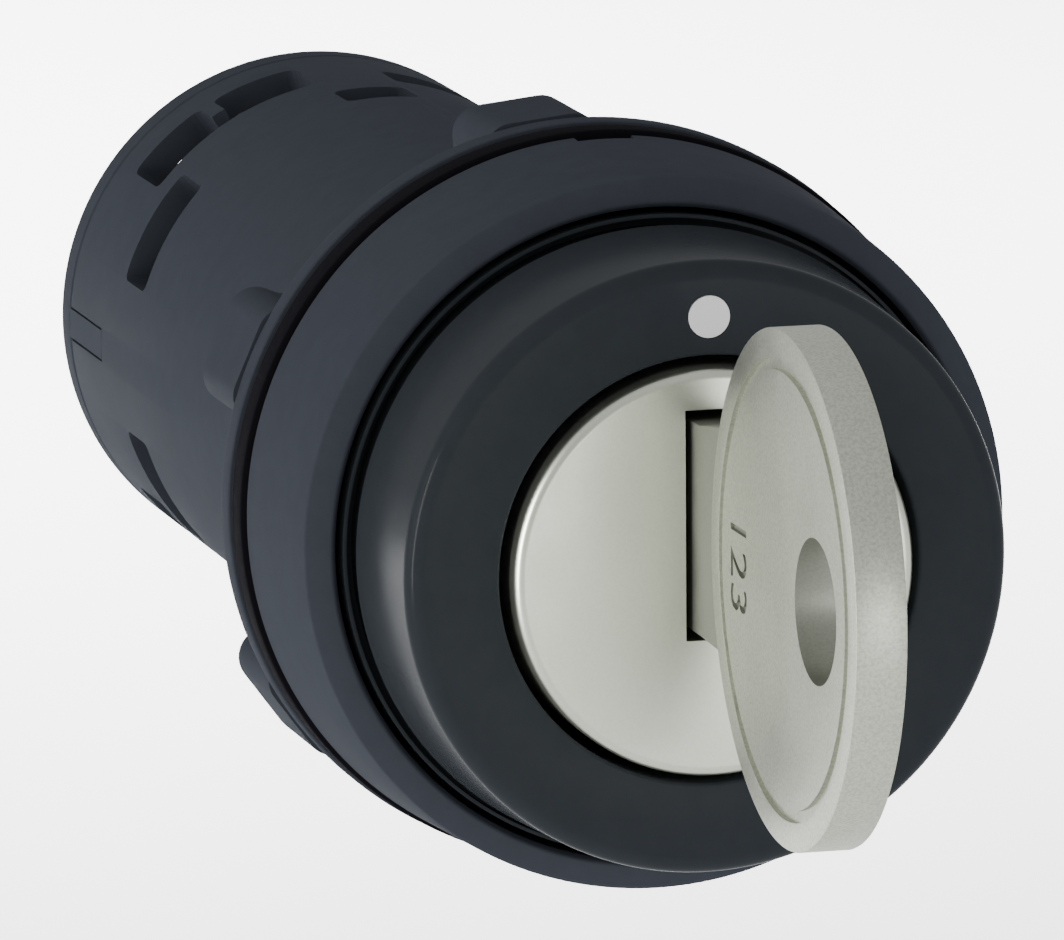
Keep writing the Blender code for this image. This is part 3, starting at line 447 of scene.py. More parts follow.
def make_finishes(colours):
    """Every material of the switch, by name."""
    grain = moulded_grain()
    blast = blasted_metal()
    # painted shade: the key's nickel darkened to 0.58, standing in for the bow's shadow on the blade and the
    # shade inside the ring hole and the number
    painted_shade = [0.58 * part for part in colours.nickel]
    face = [1.1 * part for part in colours.nickel]

    def plastic(name, tint, scale, gloss, bump, specular=0.12, tone=0.06):
        """A moulding, a rubber or a paint."""
        return finish(name, grain, tint, scale, gloss, tone, bump, 0.0, specular)

    def metal(name, tint, scale, gloss, bump, tone=0.1):
        """A plated, rolled or turned metal."""
        return finish(name, blast, tint, scale, gloss, tone, bump, 1.0, 0.5)

    return {
        "body": plastic("body_plastic", colours.body_plastic, 7000.0, (0.50, 0.60), 0.006, specular=0.001),
        "drum": plastic("drum_plastic", colours.drum_plastic, 9000.0, (0.17, 0.24), 0.002, specular=0.02),
        "rubber": plastic("gasket_rubber", colours.rubber, 3500.0, (0.65, 0.85), 0.015, specular=0.01),
        "nickel": metal("satin_nickel", colours.nickel, 2600.0, (0.38, 0.46), 0.010, tone=0.22),
        # the darker nickel above as a duller material: painted shade for the key's shaded faces
        "painted_shade": metal("painted_shade_nickel", painted_shade, 1500.0, (0.4, 0.5), 0.008),
        "face": metal("lock_face_nickel", face, 1200.0, (0.30, 0.38), 0.004, tone=0.05),
        "white": plastic("white_mark", colours.white_mark, 5000.0, (0.4, 0.5), 0.003, tone=0.02),
        "inner": plastic("inner_plastic", colours.inner_plastic, 5000.0, (0.45, 0.6), 0.008),
        "brass": metal("turned_brass", colours.brass, 3000.0, (0.25, 0.4), 0.006),
        "copper": metal("rolled_copper", colours.copper, 2000.0, (0.25, 0.45), 0.006),
        "silver": metal("contact_silver", colours.silver, 2400.0, (0.2, 0.35), 0.005),
        "steel": metal("zinc_plated_steel", colours.steel, 1800.0, (0.25, 0.45), 0.008),
    }


FINISHES = {}


def shared_finishes(scene):
    """The materials, made the first time that an operator asks for them."""
    if not FINISHES:
        FINISHES.update(make_finishes(scene.switch_finishes))
    return FINISHES


# ---------------------------------------------------------------- fixed pieces

# Openings in the body's upper side: first and last angle in degrees, front and rear in millimetres.
UPPER_OPENINGS = {
    "near_top": (98.8, 118.6, 37.8, 42.1),
    "step": (116.8, 124.4, 37.8, 39.9),
    "shoulder": (121.9, 142.1, 37.8, 42.1),
    "front_side": (136.4, 163.0, 32.7, 36.2),
    "front_top": (82.6, 98.8, 32.6, 35.4),
    "far_top": (40.0, 81.5, 37.4, 40.4),
}
FLANGE_THICKNESS = 1.6 * MM
THREAD_RUN_IN = 0.4 * MM
THREAD_RUN_OUT = 0.5 * MM
BODY_CORNER = 0.12 * MM
OPENING_REACH = 1.5 * MM
TONGUE_ROOM = 0.1 * MM
TONGUE_SLOT_DEPTH = 1.1 * MM
COVER_GAP = 0.12 * MM


def side_openings():
    """Every opening of the body; those of its lower side mirror the upper ones."""
    upper = list(UPPER_OPENINGS.values())
    return upper + [(-last, -first, front, rear) for first, last, front, rear in upper]


class SWITCH_OT_body(bpy.types.Operator):
    """Make the threaded tube behind the panel, with its openings and thread"""
    bl_idname = "switch.body"
    bl_label = "Body tube"

    def execute(self, context):
        """Turn the tube, cut its openings and wind the thread on it."""
        sizes = context.scene.switch_body
        finishes = shared_finishes(context.scene)
        flange_front = ends("housing_shell")[0]
        flange_rear = flange_front + FLANGE_THICKNESS
        root = sizes.tube_radius - sizes.thread_depth
        thread_end = sizes.thread_start + sizes.thread_turns * sizes.thread_pitch
        outline = filleted([
            (sizes.tube_bore, flange_front), (sizes.flange_radius, flange_front),
            (sizes.flange_radius, flange_rear), (sizes.tube_radius, flange_rear),
            (sizes.tube_radius, sizes.thread_start - THREAD_RUN_IN), (root, sizes.thread_start),
            (root, thread_end), (sizes.tube_radius, thread_end + THREAD_RUN_OUT),
            (sizes.tube_radius, sizes.tube_rear), (sizes.tube_bore, sizes.tube_rear)], BODY_CORNER)
        tube = as_object("body_tube", turned(outline))
        radii = (sizes.tube_bore - OPENING_REACH, sizes.tube_radius + OPENING_REACH)
        tools = [wedge(radii, (math.radians(first), math.radians(last)), (front * MM, rear * MM),
                       sizes.slot_corner) for first, last, front, rear in side_openings()]
        half = sizes.tongue_width / 2 + TONGUE_ROOM
        radius = sizes.tube_radius
        for side in (-1, 1):
            reach = sorted((side * (radius - TONGUE_SLOT_DEPTH), side * (radius + OVERCUT)))
            tools.append(block((reach[0], sizes.tongue_front - COVER_GAP, -half),
                               (reach[1], sizes.tube_rear + OVERCUT, half)))
        worked(tube, tools)
        dressed(tube, finishes["body"], "housing", ("housing_shell",), 0.05 * MM)
        thread = as_object("body_thread", self.ridge(sizes, root))
        dressed(thread, finishes["body"], "housing", ())
        return {"FINISHED"}

    def ridge(self, sizes, root):
        """One ridge wound round the tube as a true helix, with closed ends."""
        mesh = bmesh.new()
        sunk = 0.1 * MM
        half = 0.42 * sizes.thread_pitch  # half the ridge's foot
        crest = 0.1 * sizes.thread_pitch  # half its flat top
        start = sizes.thread_start + half
        places = [(root - sunk, -half), (sizes.tube_radius, -crest), (sizes.tube_radius, crest),
                  (root - sunk, half)]
        face = mesh.faces.new([mesh.verts.new((radius, start + along, 0.0)) for radius, along in places])
        turns = sizes.thread_turns - 1
        steps = 72 * turns  # 72 to a turn
        bmesh.ops.spin(mesh, geom=[face, *face.verts, *face.edges], cent=(0, 0, 0), axis=(0, 1, 0),
                       dvec=(0, turns * sizes.thread_pitch / steps, 0), angle=FULL_TURN * turns,
                       steps=steps, use_merge=False, use_duplicate=False)
        bmesh.ops.recalc_face_normals(mesh, faces=mesh.faces)
        return mesh


THROAT = 11.3 * MM
BEZEL_BORE = 12.85 * MM
BEZEL_LEDGE = -5.5 * MM
BEZEL_CORNER = 0.16 * MM
MOUTH_SLOPE = 0.25 * MM
FRONT_SLOPE = 0.42 * MM
INDEX_HALF_WIDTH = 1.15 * MM
INDEX_LENGTH = 0.7 * MM
INDEX_DEPTH = 0.62 * MM
GASKET_CORNER = 0.1 * MM


class SWITCH_OT_bezel(bpy.types.Operator):
    """Make the bezel in front of the panel and the rubber gasket behind it"""
    bl_idname = "switch.bezel"
    bl_label = "Bezel and gasket"

    def execute(self, context):
        """Turn the bezel, cut its index notch and turn the gasket."""
        sizes = context.scene.switch_body
        finishes = shared_finishes(context.scene)
        front, rear = ends("bezel_ring")
        outline = filleted([
            (THROAT, rear), (THROAT, BEZEL_LEDGE), (BEZEL_BORE, BEZEL_LEDGE),
            (BEZEL_BORE, front + MOUTH_SLOPE), (sizes.bezel_mouth_radius, front),
            (sizes.bezel_front_radius, front + FRONT_SLOPE),
            (sizes.bezel_radius, rear)], BEZEL_CORNER, 4)
        bezel = as_object("bezel", turned(outline, sides=FACE_SIDES))
        worked(bezel, [block((-INDEX_HALF_WIDTH, rear - INDEX_LENGTH, sizes.bezel_radius - INDEX_DEPTH),
                             (INDEX_HALF_WIDTH, rear + SHORT_OVERCUT, sizes.bezel_radius + SHORT_OVERCUT))])
        dressed(bezel, finishes["body"], "housing", ("bezel_ring",), 0.04 * MM)
        outline = filleted(rectangle((THROAT, sizes.gasket_radius), ends("panel_gasket")), GASKET_CORNER)
        gasket = as_object("gasket", turned(outline))
        dressed(gasket, finishes["rubber"], "housing", ("panel_gasket",))
        return {"FINISHED"}


COVER_CHAMFER = 0.1 * MM
DIMPLE_RADIUS = 3.0 * MM
DIMPLE_FLOOR_RADIUS = 2.8 * MM
DIMPLE_DEPTH = 0.2 * MM
TONGUE_DEPTH = 1.0 * MM
TONGUE_SUNK = 0.02 * MM
WIRE_WINDOW_RADII = (3.6 * MM, 9.3 * MM)
WIRE_WINDOW_HALF_ANGLE = 43  # degrees
SCREW_HOLE_RADIUS = 2.4 * MM
SCREW_HOLE_OFFSET = 5.6 * MM
RIM_GROOVE_RADII = (10.1 * MM, 10.3 * MM)
RIM_GROOVE_DEPTH = 0.12 * MM


class SWITCH_OT_cover(bpy.types.Operator):
    """Make the snap-on cover at the rear end"""
    bl_idname = "switch.cover"
    bl_label = "Rear cover"

    def execute(self, context):
        """Turn the cap, join its tongues on and cut its openings."""
        sizes = context.scene.switch_body
        finishes = shared_finishes(context.scene)
        seat = sizes.tube_rear + COVER_GAP
        rear = ends("rear_cover")[1]
        radius = sizes.tube_radius
        round_off = sizes.cover_edge
        edge = arc((radius - round_off, rear - round_off), round_off, 0.0, math.pi / 2, 6)
        outline = [(0.0, seat), (radius - COVER_CHAMFER, seat), (radius, seat + COVER_CHAMFER)] + edge
        outline += [(DIMPLE_RADIUS, rear), (DIMPLE_FLOOR_RADIUS, rear - DIMPLE_DEPTH),
                    (0.0, rear - DIMPLE_DEPTH)]
        cover = as_object("end_cover", turned(outline, closed=False))
        half = sizes.tongue_width / 2
        tongues = []
        for side in (-1, 1):
            reach = sorted((side * (radius - TONGUE_DEPTH), side * (radius - TONGUE_SUNK)))
            tongues.append(block((reach[0], sizes.tongue_front, -half),
                                 (reach[1], seat + SHORT_OVERCUT, half)))
        worked(cover, tongues, "UNION")
        through = (seat - OVERCUT, rear + OVERCUT)
        tools = [wedge(WIRE_WINDOW_RADII, (math.radians(middle - WIRE_WINDOW_HALF_ANGLE),
                                           math.radians(middle + WIRE_WINDOW_HALF_ANGLE)),
                       through, 0.01 * MM) for middle in (90, 270)]
        tools += [bar(SCREW_HOLE_RADIUS, *through, (side * SCREW_HOLE_OFFSET, 0.0)) for side in (-1, 1)]
        tools.append(turned(rectangle(RIM_GROOVE_RADII, (rear - RIM_GROOVE_DEPTH, rear + SHORT_OVERCUT))))
        worked(cover, tools)
        dressed(cover, finishes["body"], "housing", ("rear_cover",), 0.08 * MM)
        return {"FINISHED"}


NUT_CORNER = 0.15 * MM
NUT_CHAMFER = 0.5 * MM
GRIP_FOOT_SUNK = 0.35 * MM
GRIP_ROOT = 0.8 * MM
GRIP_FRONT = 0.28 * MM
GRIP_SET_BACK = 0.02 * MM


class SWITCH_OT_nut(bpy.types.Operator):
    """Make the washer and the nut that clamp the panel"""
    bl_idname = "switch.nut"
    bl_label = "Panel nut"

    def execute(self, context):
        """Turn both rings and join the grips onto the nut."""
        sizes = context.scene.switch_nut
        finishes = shared_finishes(context.scene)
        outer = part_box("thrust_washer")[1][0]
        outline = filleted(rectangle((sizes.bore, outer), ends("thrust_washer")), NUT_CORNER)
        washer = as_object("washer", turned(outline, sides=FACE_SIDES))
        dressed(washer, finishes["body"], "washer", ("thrust_washer",))
        front, rear = ends("panel_nut")
        outline = filleted([
            (sizes.bore, front), (sizes.ring_radius, front), (sizes.ring_radius, rear),
            (sizes.bore + NUT_CHAMFER, rear), (sizes.bore, rear - NUT_CHAMFER)], NUT_CORNER)
        nut = as_object("nut", turned(outline))
        worked(nut, [self.grip(sizes, index, front, rear) for index in range(sizes.grips)], "UNION")
        dressed(nut, finishes["body"], "nut", ("panel_nut",), 0.12 * MM, 3)
        return {"FINISHED"}

    def grip(self, sizes, index, front, rear):
        """One rounded grip, standing on the ring."""
        top = sizes.grip_radius - sizes.grip_corner
        half = sizes.grip_half_top
        side = half + sizes.grip_corner
        foot = sizes.ring_radius - GRIP_FOOT_SUNK + sizes.grip_foot
        root = sizes.ring_radius - GRIP_ROOT
        outline = arc((side + sizes.grip_foot, foot), sizes.grip_foot, 1.5 * math.pi, math.pi, 6)
        outline += arc((half, top), sizes.grip_corner, 0.0, math.pi / 2, 8)
        outline += arc((-half, top), sizes.grip_corner, math.pi / 2, math.pi, 8)
        outline += arc((-side - sizes.grip_foot, foot), sizes.grip_foot, 0.0, -math.pi / 2, 6)
        outline += [Vector((-side, root)), Vector((side, root))]
        angle = sizes.first_grip + index * FULL_TURN / sizes.grips - math.pi / 2
        start = front - GRIP_FRONT
        place = Matrix.Rotation(-angle, 4, "Y") @ Matrix.Translation((0, start, 0))
        return extruded(outline, place @ Matrix.Rotation(math.pi / 2, 4, "X"),
                        Vector((0, rear - start - GRIP_SET_BACK, 0)))


# ---------------------------------------------------------------- selector and key

DRUM_BASE = -9.62 * MM
DRUM_REAR = -7.75 * MM
DRUM_SKIN = 1.6 * MM
MOUTH_ROUND = 0.15 * MM
# Groove and lip at the drum's base: how far inside the base radius and behind the base, in millimetres.
DRUM_LIP = ((0.3, -0.85), (0.6, -0.7), (0.6, 1.1), (0.16, 1.1), (0.14, 0.0), (0.04, 0.0), (0.0, 0.06))
SKIN_FOOT, SKIN_TOP = 10.8 * MM, 10.3 * MM
HUB_TOP, HUB_FOOT, HUB_RADIUS = 9.9 * MM, 9.7 * MM, 9.4 * MM
LUG_HALF_WIDTH = 0.9 * MM
LUG_FRONT = -9.5 * MM
LUG_HEIGHTS = (-8.7 * MM, -7.3 * MM)
LUG_SET_BACK = 0.3 * MM
SEAL_GROOVE_RADII = (8.85 * MM, 9.8 * MM)
SEAL_ROOM = 0.1 * MM
DOT_ROOM = 0.03 * MM
DOT_STANDS_OUT = 0.03 * MM
DOT_DEPTH = 0.4 * MM
POCKET_DEPTH = 0.45 * MM


class SWITCH_OT_drum(bpy.types.Operator):
    """Make the drum that turns with the key, and its white mark"""
    bl_idname = "switch.drum"
    bl_label = "Selector drum"

    def execute(self, context):
        """Turn the drum, join its stop lug on, cut the seal's groove, sink the mark's pocket and fill it."""
        sizes = context.scene.switch_selector
        finishes = shared_finishes(context.scene)
        front, end = ends("selector_drum")
        fillet = sizes.drum_fillet
        edge = arc((sizes.drum_edge_radius - fillet, front + fillet), fillet, -math.pi / 2, 0.0, 10)
        mouth = arc((sizes.drum_bore + MOUTH_ROUND, front + MOUTH_ROUND), MOUTH_ROUND, math.pi,
                    1.5 * math.pi, 4)
        lip = [(sizes.drum_base_radius - inside * MM, DRUM_BASE + behind * MM) for inside, behind in DRUM_LIP]
        hollow = front + DRUM_SKIN
        outline = mouth + edge + lip
        outline += [(sizes.drum_base_radius, DRUM_REAR), (SKIN_FOOT, DRUM_REAR), (SKIN_TOP, hollow),
                    (HUB_TOP, hollow), (HUB_FOOT, DRUM_REAR), (HUB_RADIUS, DRUM_REAR), (HUB_RADIUS, end),
                    (sizes.drum_bore, end)]
        drum = as_object("drum", turned(outline, sides=FACE_SIDES))
        worked(drum, [block((-LUG_HALF_WIDTH, LUG_FRONT, LUG_HEIGHTS[0]),
                            (LUG_HALF_WIDTH, end - LUG_SET_BACK, LUG_HEIGHTS[1]))], "UNION")
        seal = ends("drum_seal")
        groove = turned(rectangle(SEAL_GROOVE_RADII, (seal[0] - SEAL_ROOM, seal[1] + SEAL_ROOM)))
        place = (0.0, sizes.dot_height)
        pocket = bar(sizes.dot_radius + DOT_ROOM, front - SHORT_OVERCUT, front + POCKET_DEPTH, place)
        worked(drum, [groove, pocket])
        dressed(drum, finishes["drum"], "selector", ("selector_drum",))
        dot = bar(sizes.dot_radius, front - DOT_STANDS_OUT, front + DOT_DEPTH, place, 64)
        mark = as_object("white_dot", dot)
        dressed(mark, finishes["white"], "selector", ("index_dot",), 0.03 * MM)
        return {"FINISHED"}


O_RING_SEAT = 7.04 * MM
O_RING_GROOVE = (-13.58 * MM, -12.42 * MM)
CORE_PLAIN_END = 8.3 * MM
CLIP_SEAT = 6.6 * MM
CLIP_GROOVE = (8.6 * MM, 9.75 * MM)
CORE_SHOULDER = 7.4 * MM
CORE_END = 10.4 * MM
TAIL_HALF_WIDTH = 2.5 * MM
TAIL_FRONT = 9.9 * MM
KEYWAY_END = 5.6 * MM
LUG_ROOM = ((-1.2 * MM, -9.8 * MM, -9.0 * MM), (1.2 * MM, -4.0 * MM, -6.9 * MM))
WAFER_ROOM = 0.2 * MM
WAFER_SLOT_REACH = 9.0 * MM


class SWITCH_OT_lock(bpy.types.Operator):
    """Make the lock core with its bright face and keyway"""
    bl_idname = "switch.lock"
    bl_label = "Lock core"

    def execute(self, context):
        """Turn the core, join its square tail on and cut the keyway and slots."""
        sizes = context.scene.switch_selector
        finishes = shared_finishes(context.scene)
        front, end = ends("lock_core")
        fillet = sizes.lock_fillet
        radius = sizes.lock_radius
        outline = [(0.0, front)]
        outline += arc((radius - fillet, front + fillet), fillet, -math.pi / 2, 0.0, 8)
        outline += [(radius, O_RING_GROOVE[0]), (O_RING_SEAT, O_RING_GROOVE[0]),
                    (O_RING_SEAT, O_RING_GROOVE[1]), (radius, O_RING_GROOVE[1]), (radius, CORE_PLAIN_END),
                    (CLIP_SEAT, CLIP_GROOVE[0]), (CLIP_SEAT, CLIP_GROOVE[1]),
                    (CORE_SHOULDER, CLIP_GROOVE[1]), (CORE_SHOULDER, CORE_END), (0.0, CORE_END)]
        core = as_object("lock", turned(outline, closed=False, sides=FACE_SIDES))
        worked(core, [block((-TAIL_HALF_WIDTH, TAIL_FRONT, -TAIL_HALF_WIDTH),
                            (TAIL_HALF_WIDTH, end, TAIL_HALF_WIDTH))], "UNION")
        half = sizes.keyway_half_width
        tools = [block((-half, front - OVERCUT, sizes.keyway_low), (half, KEYWAY_END, sizes.keyway_high)),
                 block(*LUG_ROOM)]
        for name in sorted(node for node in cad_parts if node.startswith("wafer_")):
            low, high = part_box(name)
            tools.append(block((low[0] - WAFER_ROOM, low[1] - WAFER_ROOM, -WAFER_SLOT_REACH),
                               (high[0] + WAFER_ROOM, high[1] + WAFER_ROOM, WAFER_SLOT_REACH)))
        worked(core, tools)
        dressed(core, finishes["face"], "selector", ("lock_core",), 0.03 * MM)
        return {"FINISHED"}


ACROSS = Matrix.Rotation(math.pi / 2, 4, "Z") @ Matrix.Rotation(math.pi / 2, 4, "X")
KEY_RIM = 0.06 * MM
BOW_MARGIN = 0.05 * MM
WALL_MARGIN = 0.02 * MM
BLADE_TAPER = 0.029
TIP_LENGTH = 2.0 * MM
TIP_HEIGHTS = (0.5 * MM, 3.2 * MM)
STEM_REACH = 6.0 * MM
NOTCH_HALF_MOUTH = 1.0 * MM
NOTCH_HALF_FLOOR = 0.5 * MM
DIGIT_SHARE = 0.7  # a digit's height as a share of the text size
NUMBER_DEPTH = 0.16 * MM
NUMBER_WIDTH = 3.8 * MM
NUMBER_PLACE = (-23.3 * MM, 3.6 * MM)


class SWITCH_OT_key(bpy.types.Operator):
    """Make the key with its ring hole, rim line and number"""
    bl_idname = "switch.key"
    bl_label = "Key"

    def execute(self, context):
        """Join the blade's plate onto the bow's, then cut the hole, notches, rim lines and number."""
        sizes = context.scene.switch_key
        finishes = shared_finishes(context.scene)
        thick = sizes.half_thickness
        centre = (sizes.bow_centre_y, sizes.bow_centre_z)
        bow = arc(centre, sizes.bow_radius, 0.0, FULL_TURN, 180)[:-1]
        key = as_object("flat_key", self.plate(bow, thick))
        worked(key, [self.plate(self.outline(sizes), thick - sizes.blade_step)], "UNION")
        hole = arc((sizes.hole_y, sizes.bow_centre_z), sizes.hole_radius, 0.0, FULL_TURN, 72)[:-1]
        tools = [self.slab(outline, 2 * thick) for outline in [hole] + self.notches(sizes)]
        tools += [self.rim_line(sizes, side) for side in (-1, 1)]
        tools.append(self.number(sizes))
        worked(key, tools)
        dressed(key, finishes["nickel"], "key", ("key",), 0.03 * MM)
        # painted shade on the blade and on the walls of the ring hole and the number
        self.paint_shade_on_sunk_faces(key, sizes, finishes["painted_shade"])
        return {"FINISHED"}

    def slab(self, outline, half):
        """An outline in the (y, z) plane, extruded to both sides of it."""
        return extruded(outline, Matrix.Translation((-half, 0, 0)) @ ACROSS, Vector((2 * half, 0, 0)))

    def plate(self, outline, half):
        """A slab with its rims softened."""
        made = self.slab(outline, half)
        rims = [edge for edge in made.edges if abs(edge.verts[0].co.x - edge.verts[1].co.x) < 1e-6]
        bmesh.ops.bevel(made, geom=rims, offset=KEY_RIM, offset_type="OFFSET", segments=2,
                        profile=0.5, material=-1, affect="EDGES")
        return made

    def paint_shade_on_sunk_faces(self, key, sizes, shade_finish):
        """Paint shade on the blade and on the walls of the ring hole and the number: a duller, darker nickel
        that stands in for the bow's shadow and the shade in these recesses.
        """
        key.data.materials.append(shade_finish)
        inner = sizes.groove_radius - sizes.groove_width
        outer = sizes.bow_radius + BOW_MARGIN
        for face in key.data.polygons:
            reach = math.hypot(face.center.y - sizes.bow_centre_y, face.center.z - sizes.bow_centre_z)
            sunk = abs(face.center.x) < sizes.half_thickness - WALL_MARGIN
            # painted shade on every face sunk below the bow's faces, outside the rim line
            if sunk and not inner <= reach <= outer:
                face.material_index = 1

    def edge(self, base, along, sign):
        """Height of a blade edge: the blade narrows evenly towards its tip."""
        return base + sign * BLADE_TAPER * max(0.0, along - ends("lock_core")[0])

    def outline(self, sizes):
        """Side view of the key's stem and blade as (y, z) points, from inside the bow to the tip."""
        face = ends("lock_core")[0]
        root = sizes.bow_centre_y + STEM_REACH
        shoulder = sizes.blade_tip - TIP_LENGTH
        return [Vector(point) for point in (
            (root, sizes.blade_high + 0.9 * MM), (root, sizes.blade_low - 0.2 * MM),
            (face - 1.2 * MM, sizes.blade_low), (face, sizes.blade_low),
            (shoulder, self.edge(sizes.blade_low, sizes.blade_tip, 1)),
            (sizes.blade_tip, TIP_HEIGHTS[0]), (sizes.blade_tip, TIP_HEIGHTS[1]),
            (shoulder, self.edge(sizes.blade_high, sizes.blade_tip, -1)),
            (face, sizes.blade_high), (face - 0.9 * MM, sizes.blade_high))]

    def notches(self, sizes):
        """Cuts in the blade's edges, one at each of the first wafers."""
        cuts = []
        for index, name in enumerate(("wafer_1", "wafer_2", "wafer_3")):
            along = sum(ends(name)) / 2
            base, sign = ((sizes.blade_low, 1), (sizes.blade_high, -1))[index % 2]
            edge = self.edge(base, along, sign)
            depth = sign * (0.9 + 0.15 * index) * MM
            mouth = edge - sign * SHORT_OVERCUT
            cuts.append([(along - NOTCH_HALF_MOUTH, mouth), (along + NOTCH_HALF_MOUTH, mouth),
                         (along + NOTCH_HALF_FLOOR, edge + depth), (along - NOTCH_HALF_FLOOR, edge + depth)])
        return cuts

    def rim_line(self, sizes, side):
        """A shallow ring to cut into one face of the bow."""
        half = sizes.groove_width / 2
        ring = turned(rectangle((sizes.groove_radius - half, sizes.groove_radius + half),
                                (-sizes.groove_depth, SHORT_OVERCUT)))
        place = Matrix.Translation((side * sizes.half_thickness, sizes.bow_centre_y, sizes.bow_centre_z))
        facing = Matrix.Rotation(-side * math.pi / 2, 4, "Z")
        bmesh.ops.transform(ring, matrix=place @ facing, verts=ring.verts)
        return ring

    def number(self, sizes):
        """The digits, reading down the rear of the bow's left face, as a shallow cutter."""
        curve = bpy.data.curves.new("number", "FONT")
        curve.body = sizes.number
        curve.size = sizes.number_height / DIGIT_SHARE
        curve.extrude = NUMBER_DEPTH
        curve.resolution_u = 3
        text = bpy.data.objects.new("number", curve)
        bpy.context.scene.collection.objects.link(text)
        graph = bpy.context.evaluated_depsgraph_get()
        data = bpy.data.meshes.new_from_object(text.evaluated_get(graph))
        mesh = bmesh.new()
        mesh.from_mesh(data)
        bpy.data.objects.remove(text, do_unlink=True)
        width = max(vert.co.x for vert in mesh.verts)
        narrow = Matrix.Scale(NUMBER_WIDTH / width, 4, (1, 0, 0))
        down_and_forward = Matrix(((0, 0, -1, 0), (0, -1, 0, 0), (-1, 0, 0, 0), (0, 0, 0, 1)))
        place = Matrix.Translation((-sizes.half_thickness, *NUMBER_PLACE))
        bmesh.ops.transform(mesh, matrix=place @ down_and_forward @ narrow, verts=mesh.verts)
        bmesh.ops.remove_doubles(mesh, verts=mesh.verts, dist=SAME_PLACE)
        bmesh.ops.recalc_face_normals(mesh, faces=mesh.faces)
        return mesh


class SWITCH_OT_inside(bpy.types.Operator):
    """Give the pieces inside the body their finishes"""
    bl_idname = "switch.inside"
    bl_label = "Inside pieces"

    def execute(self, context):
        """Paint each carried node by what it is made of."""
        finishes = shared_finishes(context.scene)
        made_of = {
            "brass": ("lock_sleeve", "wafer_1", "wafer_2", "wafer_3", "wafer_4"),
            "steel": ("detent_spring", "retaining_clip", "return_spring", "clamp_plate_left",
                      "clamp_plate_right", "terminal_screw_left", "terminal_screw_right"),
            "copper": ("contact_bridge", "fixed_contact_left", "fixed_contact_right"),
            "silver": ("fixed_pad_left", "fixed_pad_right", "moving_pad_left", "moving_pad_right"),
            "rubber": ("drum_seal", "core_o_ring"),
            "inner": ("contact_carrier", "terminal_block", "cam", "follower"),
        }
        for label, names in made_of.items():
            for name in names:
                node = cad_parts[name]
                for index in range(len(node.material_slots)):
                    node.material_slots[index].material = finishes[label]
        return {"FINISHED"}


# ---------------------------------------------------------------- studio

FLOOR_HEIGHT = -0.12
FLOOR_HALF_WIDTH = 6.0
FLOOR_GLOW = 0.65


def lamp(name, place, width, height, power, diffuse=True):
    """A soft rectangular light turned to the switch; without diffuse it only shows in reflections."""
    light = bpy.data.lights.new(name, "AREA")
    light.shape = "RECTANGLE"
    light.size = width
    light.size_y = height
    light.energy = power
    made = bpy.data.objects.new(name, light)
    made.location = place
    made.rotation_euler = (Vector() - Vector(place)).to_track_quat("-Z", "Y").to_euler()
    made.visible_diffuse = diffuse
    bpy.context.scene.collection.objects.link(made)


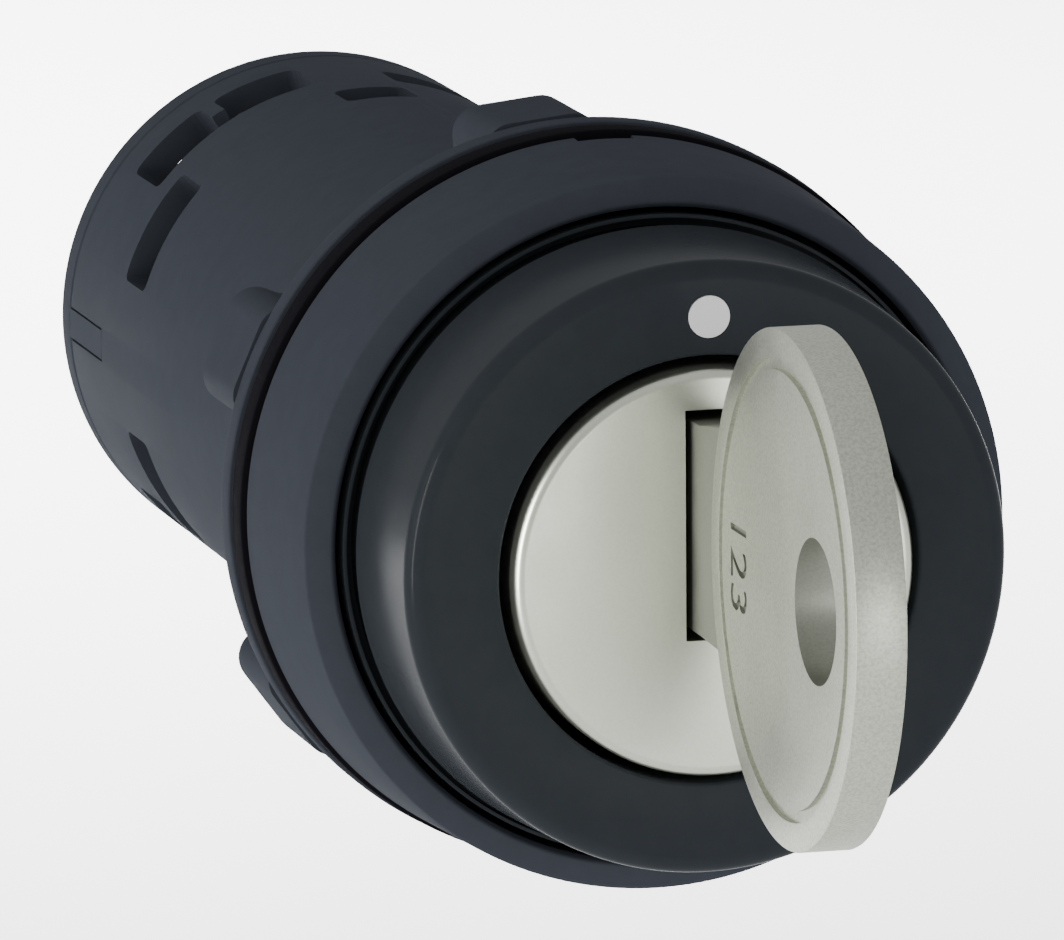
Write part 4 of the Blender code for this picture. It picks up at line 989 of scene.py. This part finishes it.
class SWITCH_OT_studio(bpy.types.Operator):
    """Make the floor, the lights and the camera"""
    bl_idname = "switch.studio"
    bl_label = "Studio"

    def execute(self, context):
        """Lay the floor, hang the lights and place the camera."""
        scene = context.scene
        self.floor(scene)
        self.lights(scene)
        self.camera(scene)
        return {"FINISHED"}

    def floor(self, scene):
        """A wide pale floor well below the switch."""
        mesh = bmesh.new()
        bmesh.ops.create_grid(mesh, x_segments=8, y_segments=8, size=FLOOR_HALF_WIDTH,
                              matrix=Matrix.Translation((0, 0, FLOOR_HEIGHT)))
        floor = as_object("floor", mesh)
        plain = bpy.data.materials.new("studio_floor")
        plain.use_nodes = True
        shader = plain.node_tree.nodes["Principled BSDF"]
        shader.inputs["Base Color"].default_value = (*scene.switch_finishes.floor, 1.0)
        shader.inputs["Roughness"].default_value = 0.9
        shader.inputs["Specular IOR Level"].default_value = 0.1
        shader.inputs["Emission Color"].default_value = (1.0, 1.0, 1.0, 1.0)
        shader.inputs["Emission Strength"].default_value = FLOOR_GLOW
        floor.data.materials.append(plain)

    def lights(self, scene):
        """A strip and a softbox to reflect, a softbox at the left, a spot on the floor, a pale surround."""
        world = bpy.data.worlds.new("surround")
        world.use_nodes = True
        back = world.node_tree.nodes["Background"]
        direction = world.node_tree.nodes.new("ShaderNodeTexCoord").outputs["Generated"]
        split = world.node_tree.nodes.new("ShaderNodeSeparateXYZ")
        world.node_tree.links.new(direction, split.inputs["Vector"])
        bright = scaled(world.node_tree, split.outputs["Z"], 0.6, 0.7, (0.0, 0.9))
        world.node_tree.links.new(bright, back.inputs["Strength"])
        back.inputs["Color"].default_value = (1.0, 1.0, 1.0, 1.0)
        scene.world = world
        lamp("left_strip", (-0.55, -0.17, -0.04), 0.03, 0.5, 7.0, diffuse=False)
        lamp("front_softbox", (0.20, -0.70, -0.03), 0.35, 0.16, 0.75, diffuse=False)
        lamp("left_softbox", (-0.60, 0.02, 0.08), 0.3, 0.3, 1.0)
        spot = bpy.data.lights.new("floor_spot", "SPOT")
        spot.energy = 130.0
        spot.spot_size = math.radians(95)
        spot.spot_blend = 0.7
        spot.shadow_soft_size = 0.2
        hung = bpy.data.objects.new("floor_spot", spot)
        hung.location = (0.02, 0.85, 0.5)
        scene.collection.objects.link(hung)

    def camera(self, scene):
        """A long lens a little left of and above the operator's side."""
        lens = bpy.data.cameras.new("view")
        lens.sensor_width = 36.0
        lens.lens = 420.8
        lens.clip_start = 0.01
        lens.clip_end = 50.0
        camera = bpy.data.objects.new("view", lens)
        scene.collection.objects.link(camera)
        camera.matrix_world = (Matrix.Translation((-0.1259, -0.4657, 0.0897))
                               @ Matrix.Rotation(math.radians(-14.84), 4, "Z")
                               @ Matrix.Rotation(math.radians(90.0 - 10.43), 4, "X")
                               @ Matrix.Rotation(math.radians(-0.41), 4, "Z"))
        scene.camera = camera


OPERATORS = (SWITCH_OT_body, SWITCH_OT_bezel, SWITCH_OT_cover, SWITCH_OT_nut, SWITCH_OT_drum,
             SWITCH_OT_lock, SWITCH_OT_key, SWITCH_OT_inside, SWITCH_OT_studio)


class SWITCH_PT_panel(bpy.types.Panel):
    """Buttons and settings of the switch"""
    bl_label = "Key switch"
    bl_idname = "SWITCH_PT_panel"
    bl_space_type = "VIEW_3D"
    bl_region_type = "UI"
    bl_category = "Switch"

    def draw(self, context):
        """List the operators, then the settings."""
        for operator in OPERATORS:
            self.layout.operator(operator.bl_idname)
        for group in GROUPS.values():
            settings = getattr(context.scene, group)
            for label in settings.bl_rna.properties.keys():
                if label not in ("rna_type", "name"):
                    self.layout.prop(settings, label)


GROUPS = {BodySizes: "switch_body", NutSizes: "switch_nut", SelectorSizes: "switch_selector",
          KeySizes: "switch_key", Finishes: "switch_finishes"}


def register():
    """Register the settings, operators and panel."""
    for group, label in GROUPS.items():
        bpy.utils.register_class(group)
        setattr(bpy.types.Scene, label, PointerProperty(type=group))
    for operator in OPERATORS:
        bpy.utils.register_class(operator)
    bpy.utils.register_class(SWITCH_PT_panel)


def unregister():
    """Take everything away again."""
    bpy.utils.unregister_class(SWITCH_PT_panel)
    for operator in reversed(OPERATORS):
        bpy.utils.unregister_class(operator)
    for group, label in reversed(list(GROUPS.items())):
        delattr(bpy.types.Scene, label)
        bpy.utils.unregister_class(group)


def main():
    """Register everything, then build the pieces, the inside finishes and the studio."""
    register()
    bpy.ops.switch.body()
    bpy.ops.switch.bezel()
    bpy.ops.switch.cover()
    bpy.ops.switch.nut()
    bpy.ops.switch.drum()
    bpy.ops.switch.lock()
    bpy.ops.switch.key()
    bpy.ops.switch.inside()
    bpy.ops.switch.studio()


if __name__ == "__main__":
    main()
